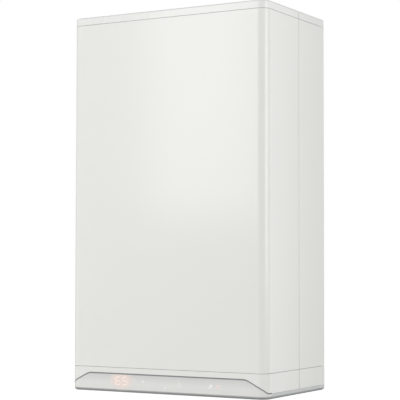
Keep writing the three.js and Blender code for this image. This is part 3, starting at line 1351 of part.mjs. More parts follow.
/** Returned water from the pump up to the exchanger's lower end. */
function hxReturnPipe() {
  const z = hxZ - COIL_RADIUS;
  const pumpX = TAILS.return.x;
  return waterPipe([
    [headerEnd + FIT, -coilEnd, z], [riserX, -coilEnd, z], [riserX, -coilEnd, RETURN_CROSS_HEIGHT],
    [pumpX, -pumpPortSetback, RETURN_CROSS_HEIGHT], [pumpX, -pumpPortSetback, pumpPortTop + FIT],
  ]);
}

function airVent() {
  const base = hxZ + COIL_RADIUS + HEADER_BOSS + FIT;
  const at = [headerX + HEADER_LENGTH / 2, -coilStart, 0];
  return turned([
    [0, base], [VENT_RADIUS - 5, base], [VENT_RADIUS - 5, base + 6], [VENT_RADIUS, base + 10],
    [VENT_RADIUS, base + VENT_HEIGHT - 12], [VENT_RADIUS - 6, base + VENT_HEIGHT - 8],
    [VENT_RADIUS - 6, base + VENT_HEIGHT], [0, base + VENT_HEIGHT],
  ], at, UP, 16);
}

// ---------------------------------------------------------------------------------------
// Expansion vessel

const vesselLeft = -(halfWidth - REAR_RETURN - 1.5);
const vesselMiddle = vesselLeft + VESSEL_WIDTH / 2;
const vesselTop = CASE_HEIGHT - VESSEL_DROP;
const vesselBottom = FLOW_CROSS_HEIGHT + VESSEL_RISE;
const vesselPortX = vesselMiddle + VESSEL_WIDTH / 4;
const vesselPortEnd = vesselBottom - 15;

function expansionVessel() {
  const outline = (grow) => roundedRect(-(VESSEL_SETBACK + VESSEL_DEPTH) - grow, -VESSEL_SETBACK + grow,
    vesselBottom - grow, vesselTop + grow, VESSEL_CORNER + grow);
  const shell = prism(outline(0), 'side', vesselLeft, VESSEL_WIDTH, VESSEL_CROWN, 3);
  const rim = prism(outline(VESSEL_RIM), 'side', vesselMiddle - VESSEL_RIM, 2 * VESSEL_RIM, 0, 3);
  const port = bar(VESSEL_HOSE / 2 + 3, [vesselPortX, -VESSEL_PORT_SETBACK, 0], UP,
    vesselPortEnd, vesselBottom + 1, 6);
  const valve = bar(4, [vesselPortX - 8, -(VESSEL_SETBACK + VESSEL_DEPTH / 2), 0], UP,
    vesselTop - 1, vesselTop + 12, 8);
  return union(shell, rim, port, valve);
}

/** Shelf on the back plate that carries the vessel, to the right of its rim. */
function vesselBracket() {
  const [left, right] = [vesselMiddle + VESSEL_RIM + 1, vesselLeft + VESSEL_WIDTH - VESSEL_CROWN / 2];
  const top = vesselBottom - FIT;
  const reach = VESSEL_PORT_SETBACK - VESSEL_HOSE;
  const shelf = block([left, right], [-reach, backFace - FIT], [top - VESSEL_SHELF, top]);
  const upright = block([left, right], [backFace - FIT - VESSEL_SHELF, backFace - FIT], [top - VESSEL_BRACKET, top]);
  const gusset = (x) => prism(outlineOf([[backFace - FIT - 1, top - VESSEL_BRACKET + 2], [-reach + 2, top - 1],
    [backFace - FIT - 1, top - 1]]), 'side', x, VESSEL_SHELF);
  return union(shelf, upright, gusset(left), gusset(right - VESSEL_SHELF));
}

function vesselHose() {
  const x = TAILS.return.x;
  const level = RETURN_CROSS_HEIGHT;
  const setback = VESSEL_PORT_SETBACK;
  const turnX = x - 2 * setback + PIPE_SETBACK + 25;
  return pipe(VESSEL_HOSE / 2, [
    [vesselPortX, -setback, vesselPortEnd - FIT], [vesselPortX, -setback, level],
    [turnX, -setback, level], [x, -PIPE_SETBACK, level], [x, -PIPE_SETBACK, BLOCK_TOP + 8 + FIT],
  ], 15, 0, 8);
}

// ---------------------------------------------------------------------------------------
// Condensate trap

const trapAxis = [trapX, -TRAP_SETBACK, 0];
const trapHeadTop = TRAP_TOP + FIT + 47;

/** Cup that drops away downwards for cleaning, with the outlet under it. */
function trapCup() {
  const [r, inside] = [TRAP_DIAMETER / 2, TRAP_DIAMETER / 2 - TRAP_WALL];
  const [outer, bore] = [TRAP_OUTLET / 2, TRAP_OUTLET / 2 - TRAP_WALL];
  return turned([
    [bore, -TRAP_DROP], [outer, -TRAP_DROP], [outer, 6], [r - 6, 10], [r, 18], [r, TRAP_TOP],
    [inside, TRAP_TOP], [inside, 20], [inside - 5, 13], [bore, 9], [bore, -TRAP_DROP],
  ], trapAxis, UP, ROUND);
}

function trapHead() {
  const r = TRAP_DIAMETER / 2 + 2;
  const base = TRAP_TOP + FIT;
  const dip = 8;
  const body = turned([
    [0, 40], [dip, 40], [dip, base], [r, base], [r, base + 14], [r - 8, base + 22],
    [HOSE_RADIUS + 2, base + 28], [HOSE_RADIUS, base + 32], [HOSE_RADIUS, trapHeadTop], [0, trapHeadTop],
  ], trapAxis, UP, ROUND);
  const arm = block([trapX - 8, trapX + 8], [-TRAP_SETBACK, backFace - FIT], [base + 2, base + 12]);
  const bore = bar(dip - 2, trapAxis, UP, 39, trapHeadTop + 1);
  return union(body, arm).subtract(bore);
}

function condensateHose() {
  const top = hxZ - HX_RADIUS - DRAIN_RADIUS - FIT;
  const bend = 30;
  const upper = fanZ - 2 * bend;
  return pipe(HOSE_RADIUS, [
    [HX_X, -DRAIN_SETBACK, top], [HX_X, -DRAIN_SETBACK, upper],
    [trapX, -TRAP_SETBACK, trapHeadTop + 2 * bend], [trapX, -TRAP_SETBACK, trapHeadTop + FIT],
  ], bend, HOSE_RADIUS - 2, 8);
}

// ---------------------------------------------------------------------------------------
// Controls

const controlHalf = halfWidth - CONTROL_SIDE_GAP;
const controlFront = CASE_DEPTH - CONTROL_FRONT_GAP;
const controlBack = controlFront - CONTROL_DEPTH;
const controlTop = CONTROL_BOTTOM + CONTROL_HEIGHT;
const boardFront = controlBack + 14;

/** Moulded box behind the fascia, open to the back, on two feet in the base tray. */
function controlHousing() {
  const outline = (inset) => roundedRect(-controlHalf + inset, controlHalf - inset,
    CONTROL_BOTTOM + inset, controlTop - inset, 6 - inset);
  const box = prism(outline(0), 'front', -controlBack, CONTROL_DEPTH, 1.5, 1);
  const room = prism(outline(CONTROL_WALL), 'front', -(controlBack - 1),
    CONTROL_DEPTH + 1 - CONTROL_WALL, 0);
  const feet = [-1, 1].map((side) => {
    const x = side * controlHalf * 0.5;
    return block([x - 12, x + 12], [-(controlBack + 12), -(controlBack + 30)],
      [trayTop + FIT, CONTROL_BOTTOM + 1]);
  });
  const vents = [...Array(9).keys()].map((i) => {
    const x = controlHalf * 0.25 + i * 13;
    return block([x, x + 5], [-(controlBack + 12), -(controlFront - 10)], [controlTop - 5, controlTop + 1]);
  });
  return union(box.subtract(room), ...feet).subtract(union(...vents));
}

/** Lid on the back of the box, with the posts that carry the main board. */
function controlCover() {
  const start = controlBack - FIT;
  const plate = prism(roundedRect(-controlHalf, controlHalf, CONTROL_BOTTOM, controlTop, 6), 'front',
    -(start - CONTROL_WALL), CONTROL_WALL, 0, 2);
  const posts = [-1, 1].flatMap((a) => [-1, 1].map((b) => bar(4,
    [a * controlHalf * 0.8, 0, (CONTROL_BOTTOM + controlTop) / 2 + b * CONTROL_HEIGHT * 0.32],
    FORWARD, start - 1, boardFront - BOARD - FIT, 8)));
  const glands = [...Array(5).keys()].map((i) => bar(7,
    [-controlHalf * 0.6 + i * controlHalf * 0.3, 0, controlTop - 18], FORWARD,
    start - CONTROL_WALL - 6, start - 1, 8));
  return union(plate, ...posts, ...glands);
}

/** Main board with transformer, relays, capacitors and the row of connectors. */
function mainBoard() {
  const half = controlHalf * 0.9;
  const [bottom, top] = [CONTROL_BOTTOM + 9, controlTop - 9];
  const board = block([-half, half], [-boardFront, -(boardFront - BOARD)], [bottom, top]);
  const on = (x, z, width, height, rise) => block([x, x + width],
    [-(boardFront - BOARD / 2), -(boardFront + rise)], [z, z + height]);
  const relays = [...Array(5).keys()].map((i) => on(-half + 70 + i * 21, bottom + 8, 16, 19, 15));
  const plugs = [...Array(9).keys()].map((i) => on(-half + 14 + i * 38, top - 16, 26, 11, 12));
  const cans = [0, 1, 2].map((i) => bar(8, [half - 60 + i * 20, 0, bottom + 20], FORWARD,
    boardFront - BOARD / 2, boardFront + 26, SMALL_ROUND));
  const transformer = on(-half + 14, bottom + 6, 42, 34, 27);
  const chip = on(half - 130, bottom + 14, 16, 16, 2.5);
  return union(board, transformer, chip, ...relays, ...plugs, ...cans);
}

/** Touch and display board on the front of the box, close behind the fascia. */
function displayBoard() {
  const back = controlFront + FIT;
  const half = DISPLAY_WIDTH / 2;
  const level = DISPLAY_BOTTOM;
  const board = block([-half, half], [-(back + BOARD), -back], [level, level + DISPLAY_HEIGHT]);
  const digits = block([DIGITS_X - DIGITS_WIDTH / 2, DIGITS_X + DIGITS_WIDTH / 2],
    [-(back + BOARD + 4.5), -(back + BOARD / 2)], [level + 1, level + DISPLAY_HEIGHT - 1]);
  const keys = [...Array(6).keys()].map((i) => bar(7, [-30 + i * 32, 0, level + DISPLAY_HEIGHT / 2],
    FORWARD, back + BOARD / 2, back + BOARD + 4, SMALL_ROUND));
  return union(board, digits, ...keys);
}

// ---------------------------------------------------------------------------------------
// Finishes and assembly

const FINISHES = {
  whitePaint: { color: 0xf2f3f1, roughness: 0.28, metalness: 0 },
  greyFascia: { color: 0xc9cbcb, roughness: 0.18, metalness: 0 },
  galvanised: { color: 0xb9bcbd, roughness: 0.45, metalness: 0.9 },
  stainless: { color: 0xc8c9c8, roughness: 0.3, metalness: 0.95 },
  castAluminium: { color: 0xa9abac, roughness: 0.5, metalness: 0.85 },
  copper: { color: 0xb8714a, roughness: 0.35, metalness: 0.95 },
  brass: { color: 0xb9964f, roughness: 0.38, metalness: 0.9 },
  darkMoulding: { color: 0x2c2e30, roughness: 0.6, metalness: 0 },
  greyMoulding: { color: 0x8b8f92, roughness: 0.55, metalness: 0 },
  whiteMoulding: { color: 0xe4e5e2, roughness: 0.5, metalness: 0 },
  redPaint: { color: 0xb23428, roughness: 0.4, metalness: 0.1 },
  redMoulding: { color: 0xc4302b, roughness: 0.45, metalness: 0 },
  greenBoard: { color: 0x2f6b45, roughness: 0.5, metalness: 0 },
  gasket: { color: 0x4a4a48, roughness: 0.9, metalness: 0 },
  silicone: { color: 0x9b4038, roughness: 0.6, metalness: 0 },
};

const PIECES = [
  ['front_panel', frontPanel, 'whitePaint'],
  ['front_top_cap', () => between(topRim(), -CASE_DEPTH, coverRear), 'whitePaint'],
  ['front_lower_band', frontLowerBand, 'whitePaint'],
  ['display_fascia', displayFascia, 'greyFascia'],
  ['cover_lock_left', () => coverLock(-1), 'stainless'],
  ['cover_lock_right', () => coverLock(1), 'stainless'],
  ['side_panel_left', () => sidePanel(-1), 'whitePaint'],
  ['side_panel_right', () => sidePanel(1), 'whitePaint'],
  ['rear_top_cap', () => between(topRim(), shellFront, 0), 'whitePaint'],
  ['rear_lower_band', rearLowerBand, 'whitePaint'],
  ['base_tray', baseTray, 'greyFascia'],
  ['top_plate', topPlate, 'galvanised'],
  ['back_plate', backPlate, 'galvanised'],
  ['wall_bracket', wallBracket, 'galvanised'],
  ['flue_socket', flueSocket, 'whiteMoulding'],
  ['flue_pipe', fluePipe, 'whiteMoulding'],
  ['hx_housing', hxHousing, 'stainless'],
  ['hx_coil', hxCoil, 'stainless'],
  ['hx_header', hxHeader, 'castAluminium'],
  ['door_gasket', doorGasket, 'gasket'],
  ['burner_door', burnerDoor, 'castAluminium'],
  ['burner_tube', burnerTube, 'stainless'],
  ['electrode_pair', electrodePair, 'whiteMoulding'],
  ['mixing_duct', mixingDuct, 'castAluminium'],
  ['fan_housing', fanHousing, 'castAluminium'],
  ['fan_impeller', fanImpeller, 'darkMoulding'],
  ['fan_motor', fanMotor, 'darkMoulding'],
  ['venturi_mixer', venturiMixer, 'darkMoulding'],
  ['gas_valve', gasValve, 'castAluminium'],
  ['gas_valve_solenoid', gasValveSolenoid, 'darkMoulding'],
  ['gas_inlet_pipe', gasInletPipe, 'copper'],
  ['gas_outlet_pipe', gasOutletPipe, 'copper'],
  ['ignition_unit', ignitionUnit, 'darkMoulding'],
  ['ignition_lead', ignitionLead, 'silicone'],
  ['expansion_vessel', expansionVessel, 'redPaint'],
  ['vessel_bracket', vesselBracket, 'galvanised'],
  ['vessel_hose', vesselHose, 'darkMoulding'],
  ['hx_flow_pipe', hxFlowPipe, 'copper'],
  ['hx_return_pipe', hxReturnPipe, 'copper'],
  ['air_vent', airVent, 'brass'],
  ['flow_block', flowBlock, 'brass'],
  ['diverter_spindle', diverterSpindle, 'stainless'],
  ['diverter_actuator', diverterActuator, 'darkMoulding'],
  ['return_block', returnBlock, 'brass'],
  ['plate_exchanger', plateExchanger, 'stainless'],
  ['pump_housing', pumpHousing, 'greyMoulding'],
  ['pump_impeller', pumpImpeller, 'darkMoulding'],
  ['pump_motor', pumpMotor, 'darkMoulding'],
  ['relief_valve', reliefValve, 'brass'],
  ['relief_knob', reliefKnob, 'redMoulding'],
  ['flow_sensor_body', flowSensorBody, 'brass'],
  ['flow_turbine', flowTurbine, 'whiteMoulding'],
  ['trap_head', trapHead, 'greyMoulding'],
  ['trap_cup', trapCup, 'whiteMoulding'],
  ['condensate_hose', condensateHose, 'greyMoulding'],
  ['control_housing', controlHousing, 'darkMoulding'],
  ['control_cover', controlCover, 'darkMoulding'],
  ['main_board', mainBoard, 'greenBoard'],
  ['display_board', displayBoard, 'greenBoard'],
];

const boiler = new THREE.Group();
const hung = new THREE.Group();
hung.position.z = -hangHeight;
boiler.add(hung);

for (const [name, make, finish] of PIECES) {
  const mesh = new THREE.Mesh(geometryOf(make()), new THREE.MeshStandardMaterial(FINISHES[finish]));
  mesh.name = name;
  hung.add(mesh);
}

export default boiler;
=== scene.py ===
"""Studio scene of a wall-hung combi boiler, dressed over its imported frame.

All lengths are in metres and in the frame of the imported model: x runs to the right as
seen from the front, y into the wall, z up, with the origin at the middle of the wall
bracket. The underside of the casing lies at z = -0.700.
"""

import logging
import math
from collections.abc import Callable, Iterable, Sequence
from dataclasses import dataclass, field
from enum import Enum

import bmesh
import bpy
from mathutils import Matrix, Vector


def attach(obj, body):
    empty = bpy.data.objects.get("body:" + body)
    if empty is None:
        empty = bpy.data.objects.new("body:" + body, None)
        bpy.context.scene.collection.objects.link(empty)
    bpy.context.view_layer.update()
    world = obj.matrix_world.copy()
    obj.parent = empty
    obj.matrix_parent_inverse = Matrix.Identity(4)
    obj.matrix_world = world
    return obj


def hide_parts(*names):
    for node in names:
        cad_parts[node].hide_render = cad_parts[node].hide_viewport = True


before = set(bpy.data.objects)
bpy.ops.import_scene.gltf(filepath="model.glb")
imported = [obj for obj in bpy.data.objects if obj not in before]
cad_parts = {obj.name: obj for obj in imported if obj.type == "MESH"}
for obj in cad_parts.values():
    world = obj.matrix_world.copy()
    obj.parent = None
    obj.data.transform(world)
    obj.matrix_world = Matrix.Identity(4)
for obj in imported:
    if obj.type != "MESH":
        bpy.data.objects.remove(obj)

LOG = logging.getLogger("boiler")

UNDERSIDE = -0.700  # z of the casing's underside
SAME_WAY = 0.9  # least cosine between a direction and the normal of a face that looks that way
NEAR = 1e-4  # what lies closer than this to a plane counts as on it
NOISE_LOW, NOISE_HIGH = 0.3, 0.7  # most values of a noise lie between these
Pair = tuple[float, float]
Point = tuple[float, float, float]
Colour = tuple[float, float, float]
Bar = tuple[float, float, float, float]  # middle x, middle height, width and height of a mark's bar


# ------------------------------------------------------------------------------ workshop


def deselect_all() -> None:
    """Leave edit mode and clear the selection."""
    if bpy.context.mode != "OBJECT":
        bpy.ops.object.mode_set(mode="OBJECT")
    bpy.ops.object.select_all(action="DESELECT")


class Workshop:
    """Models one mesh object with the edit tools, as a person would by hand."""

    def __init__(self, obj: bpy.types.Object) -> None:
        """Take over an object.

        Args:
            obj: The mesh object to work on.
        """
        self.obj = obj

    @classmethod
    def box(cls, name: str, low: Point, high: Point) -> "Workshop":
        """Start from a box between two corners.

        Args:
            name: Name of the new object.
            low: Its lowest corner.
            high: Its highest corner.

        Returns:
            The workshop that holds the new object.
        """
        deselect_all()
        middle = [(a + b) / 2 for a, b in zip(low, high)]
        bpy.ops.mesh.primitive_cube_add(size=1.0, location=middle)
        bpy.ops.transform.resize(value=[b - a for a, b in zip(low, high)])
        return cls(bpy.context.object)._named(name)

    @classmethod
    def rod(
        cls, name: str, radius: float, start: Point, end: Point, sides: int = 32, tip: float | None = None
    ) -> "Workshop":
        """Start from a round bar between two points.

        Args:
            name: Name of the new object.
            radius: Radius at the start.
            start: Middle of the first end.
            end: Middle of the far end.
            sides: Number of flats round it.
            tip: Radius at the far end, where it differs.

        Returns:
            The workshop that holds the new object.
        """
        deselect_all()
        along = Vector(end) - Vector(start)
        bpy.ops.mesh.primitive_cone_add(
            vertices=sides,
            radius1=radius,
            radius2=radius if tip is None else tip,
            depth=along.length,
            location=(Vector(start) + Vector(end)) / 2,
            rotation=along.to_track_quat("Z", "Y").to_euler(),
        )
        return cls(bpy.context.object)._named(name)

    @classmethod
    def plate(
        cls, name: str, outline: Sequence[Pair], y_from: float, y_to: float
    ) -> "Workshop":
        """Start from an outline in x and z that is extruded along y.

        Args:
            name: Name of the new object.
            outline: Corners as (x, z), in order.
            y_from: Depth of the outline.
            y_to: Depth to which it is extruded.

        Returns:
            The workshop that holds the new object.
        """
        deselect_all()
        bpy.ops.mesh.primitive_circle_add(vertices=len(outline), radius=1.0, fill_type="NGON")
        shop = cls(bpy.context.object)._named(name)
        for vertex, (x, z) in zip(shop.obj.data.vertices, outline):
            vertex.co = (x, y_from, z)
        return shop.extrude(lambda face: True, (0.0, y_to - y_from, 0.0)).outward()

    @classmethod
    def node(cls, name: str, source: str) -> "Workshop":
        """Start from a merged copy of a CAD node, with its flat faces made whole.

        Args:
            name: Name of the new object.
            source: Name of the CAD node.

        Returns:
            The workshop that holds the copy.
        """
        deselect_all()
        obj = bpy.data.objects.new(name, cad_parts[source].data.copy())
        bpy.context.scene.collection.objects.link(obj)
        obj.data.materials.clear()
        shop = cls(obj)
        with shop.editing() as mesh:
            bmesh.ops.remove_doubles(mesh, verts=mesh.verts, dist=1e-6)
            bmesh.ops.dissolve_limit(
                mesh, angle_limit=math.radians(0.5), verts=mesh.verts, edges=mesh.edges, delimit={"NORMAL"}
            )
        return shop

    def _named(self, name: str) -> "Workshop":
        """Name the object and put its place in its mesh."""
        self.obj.name = name
        self.obj.data.name = name
        bpy.ops.object.transform_apply(location=True, rotation=True, scale=True)
        return self

    def editing(self) -> "EditSession":
        """Open the mesh for changes in code."""
        return EditSession(self.obj)

    def _grip(self, kind: str, test: Callable) -> bool:
        """Enter edit mode with only what the test accepts selected.

        Args:
            kind: One of verts, edges and faces.
            test: Says of an element whether it is wanted.

        Returns:
            Whether anything was selected.
        """
        deselect_all()
        bpy.context.view_layer.objects.active = self.obj
        self.obj.select_set(True)
        bpy.ops.object.mode_set(mode="EDIT")
        modes = {"verts": "VERT", "edges": "EDGE", "faces": "FACE"}
        bpy.ops.mesh.select_mode(type=modes[kind])
        bpy.ops.mesh.select_all(action="DESELECT")
        mesh = bmesh.from_edit_mesh(self.obj.data)
        chosen = [element for element in getattr(mesh, kind) if test(element)]
        for element in chosen:
            element.select_set(True)
        mesh.select_flush_mode()
        bmesh.update_edit_mesh(self.obj.data)
        return bool(chosen)

    def _tool(self, kind: str, test: Callable, tool: Callable, **settings: object) -> "Workshop":
        """Use an edit tool on what a test accepts.

        Args:
            kind: One of verts, edges and faces.
            test: Says of an element whether it is wanted.
            tool: The operator.
            **settings: Its properties.

        Returns:
            This workshop.
        """
        if self._grip(kind, test):
            tool(**settings)
        deselect_all()
        return self

    def delete(self, test: Callable) -> "Workshop":
        """Remove the faces that a test accepts and leave the mesh open there."""
        return self._tool("faces", test, bpy.ops.mesh.delete, type="FACE")

    def bevel(self, test: Callable, width: float, segments: int) -> "Workshop":
        """Round the edges that a test accepts, to a radius and in a number of steps."""
        return self._tool(
            "edges", test, bpy.ops.mesh.bevel, offset=width, segments=segments, profile=0.5, affect="EDGES"
        )

    def inset(self, test: Callable, thickness: float, depth: float = 0.0) -> "Workshop":
        """Inset the faces that a test accepts.

        Args:
            test: Says of a face whether it is wanted.
            thickness: Width of the border.
            depth: Rise of the inner face.

        Returns:
            This workshop.
        """
        return self._tool("faces", test, bpy.ops.mesh.inset, thickness=thickness, depth=depth)

    def extrude(self, test: Callable, move: Point) -> "Workshop":
        """Extrude the faces that a test accepts by a move along x, y and z."""
        return self._tool(
            "faces", test, bpy.ops.mesh.extrude_region_move, TRANSFORM_OT_translate={"value": move}
        )

    def cut(self, at: Point, normal: Point) -> "Workshop":
        """Cut edges round the mesh where a plane meets it, and keep both sides.

        Args:
            at: A point of the plane.
            normal: Its normal.

        Returns:
            This workshop.
        """
        return self._tool(
            "faces",
            lambda face: True,
            bpy.ops.mesh.bisect,
            plane_co=at,
            plane_no=normal,
            clear_outer=False,
            use_fill=False,
        )

    def outward(self) -> "Workshop":
        """Make every face of a closed mesh point outwards."""
        return self._tool(
            "faces", lambda face: True, bpy.ops.mesh.normals_make_consistent, inside=False
        )

    def modify(self, kind: str, **settings: object) -> "Workshop":
        """Add a modifier, set it up and apply it.

        Args:
            kind: Blender's name for the modifier's type.
            **settings: Its properties.

        Returns:
            This workshop.
        """
        deselect_all()
        modifier = self.obj.modifiers.new(kind.title(), kind)
        for key, value in settings.items():
            setattr(modifier, key, value)
        bpy.context.view_layer.objects.active = self.obj
        self.obj.select_set(True)
        bpy.ops.object.modifier_apply(modifier=modifier.name)
        deselect_all()
        return self

    def thicken(self, wall: float) -> "Workshop":
        """Give an open shell a wall that grows inwards."""
        return self.modify("SOLIDIFY", thickness=wall, offset=-1.0, use_even_offset=True)

    def carve(self, other: "Workshop", operation: str = "DIFFERENCE") -> "Workshop":
        """Combine with another closed mesh, which is used up.

        Args:
            other: The mesh that cuts.
            operation: DIFFERENCE, INTERSECT or UNION.

        Returns:
            This workshop.
        """
        self.modify("BOOLEAN", operation=operation, solver="EXACT", object=other.obj)
        bpy.data.objects.remove(other.obj, do_unlink=True)
        return self

    def soften(self, width: float, segments: int = 2, angle: float = 35.0) -> "Workshop":
        """Round every sharp edge a little.

        Args:
            width: Radius of the rounding.
            segments: Steps across it.
            angle: Edges sharper than this many degrees are rounded.

        Returns:
            This workshop.
        """
        return self.modify(
            "BEVEL",
            width=width,
            segments=segments,
            limit_method="ANGLE",
            angle_limit=math.radians(angle),
            use_clamp_overlap=True,
            miter_outer="MITER_ARC",
        )

    def smooth(self, angle: float = 40.0, weighted: bool = True) -> "Workshop":
        """Shade smooth up to an angle, with the flat faces kept flat.

        Args:
            angle: Edges sharper than this many degrees stay sharp.
            weighted: Whether large faces rule the normals of their corners.

        Returns:
            This workshop.
        """
        deselect_all()
        bpy.context.view_layer.objects.active = self.obj
        self.obj.select_set(True)
        bpy.ops.object.shade_smooth_by_angle(angle=math.radians(angle))
        deselect_all()
        if weighted:
            self.modify("WEIGHTED_NORMAL", weight=60, keep_sharp=True)
        return self

    def pressed(self) -> "Workshop":
        """Finish a piece of pressed sheet, with crisp edges."""
        return self.soften(0.0003, 2).smooth(30.0)

    def moulded(self) -> "Workshop":
        """Finish a small moulded piece, with soft edges."""
        return self.soften(0.0006, 3).smooth(40.0)

    def copy(self, name: str, mirror_x: bool = False) -> "Workshop":
        """Copy the piece with a mesh of its own.

        Args:
            name: Name of the copy.
            mirror_x: Whether it is mirrored from left to right.

        Returns:
            The workshop that holds the copy.
        """
        twin = bpy.data.objects.new(name, self.obj.data.copy())
        bpy.context.scene.collection.objects.link(twin)
        if mirror_x:
            twin.data.transform(Matrix.Scale(-1.0, 4, (1.0, 0.0, 0.0)))
            twin.data.flip_normals()
        return Workshop(twin)

    def join(self, others: Iterable["Workshop"]) -> "Workshop":
        """Join other pieces into this one.

        Args:
            others: The pieces that become part of this mesh.

        Returns:
            This workshop.
        """
        deselect_all()
        for other in others:
            other.obj.select_set(True)
        self.obj.select_set(True)
        bpy.context.view_layer.objects.active = self.obj
        bpy.ops.object.join()
        deselect_all()
        return self


class EditSession:
    """Opens a mesh as a bmesh and writes it back when done."""

    def __init__(self, obj: bpy.types.Object) -> None:
        """Remember the object."""
        self.obj = obj

    def __enter__(self) -> bmesh.types.BMesh:
        """Open the mesh."""
        self.mesh = bmesh.new()
        self.mesh.from_mesh(self.obj.data)
        return self.mesh

    def __exit__(self, *error: object) -> None:
        """Write the mesh back."""
        self.mesh.to_mesh(self.obj.data)
        self.mesh.free()
        self.obj.data.update()


def facing(direction: Point) -> Callable[[bmesh.types.BMFace], bool]:
    """Make a test for faces that look in a direction."""
    wanted = Vector(direction)
    return lambda face: face.normal.dot(wanted) > SAME_WAY


def edge_middle(edge: bmesh.types.BMEdge) -> Vector:
    """Return the middle of an edge."""
    return (edge.verts[0].co + edge.verts[1].co) / 2


def edge_along(edge: bmesh.types.BMEdge, axis: int) -> bool:
    """Say whether an edge runs along x, y or z, given as 0, 1 or 2."""
    span = edge.verts[1].co - edge.verts[0].co
    return span.length > 0 and abs(span[axis]) > 0.99 * span.length


def place(shop: Workshop, body: str, finish: "Finish", *nodes: str) -> bpy.types.Object:
    """Dress a piece, let it ride on its body and report it.

    Args:
        shop: The finished piece.
        body: Name of the CAD body that carries it.
        finish: What it is made of.
        *nodes: CAD nodes for which it stands.

    Returns:
        The piece.
    """
    obj = shop.obj
    obj.data.materials.clear()
    obj.data.materials.append(finish.material())
    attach(obj, body)
    if nodes:
        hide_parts(*nodes)
    LOG.info("%s rides on %s with %d faces", obj.name, body, len(obj.data.polygons))
    return obj


# ------------------------------------------------------------------------------ finishes


class Texture(Enum):
    """How the surface of a finish is broken up."""

    ORANGE_PEEL = "orange peel of powder coat"
    GRAIN = "fine grain of moulded plastic"
    BRUSHED = "lines of brushed sheet"
    SPANGLE = "crystals of zinc"
    CAST = "skin of cast metal"
    DRAWN = "fine drawn or turned metal"
    SMOOTH = "polished surface"


@dataclass(frozen=True)
class Surface:
    """Settings of one texture.

    Attributes:
        scale: Cells of the noise in a metre.
        stretch: Scale along x, y and z.
        bump: Strength of the bump.
        depth: Height of the bump in metres.
        mottle: How far the colour varies, from 0 to 1.
        rough_swing: How far the roughness varies.
    """

    scale: float
    stretch: Point
    bump: float
    depth: float
    mottle: float
    rough_swing: float


SURFACES: dict[Texture, Surface] = {
    Texture.ORANGE_PEEL: Surface(420.0, (1, 1, 1), 0.12, 0.00004, 0.004, 0.02),
    Texture.GRAIN: Surface(1500.0, (1, 1, 1), 0.3, 0.00005, 0.1, 0.1),
    Texture.BRUSHED: Surface(260.0, (1, 1, 14), 0.16, 0.00003, 0.1, 0.16),
    Texture.SPANGLE: Surface(170.0, (1, 1, 1), 0.08, 0.00002, 0.1, 0.1),
    Texture.CAST: Surface(900.0, (1, 1, 1), 0.45, 0.00012, 0.14, 0.12),
    Texture.DRAWN: Surface(340.0, (1, 1, 1), 0.12, 0.00002, 0.12, 0.16),
    Texture.SMOOTH: Surface(60.0, (1, 1, 1), 0.05, 0.00001, 0.02, 0.03),
}


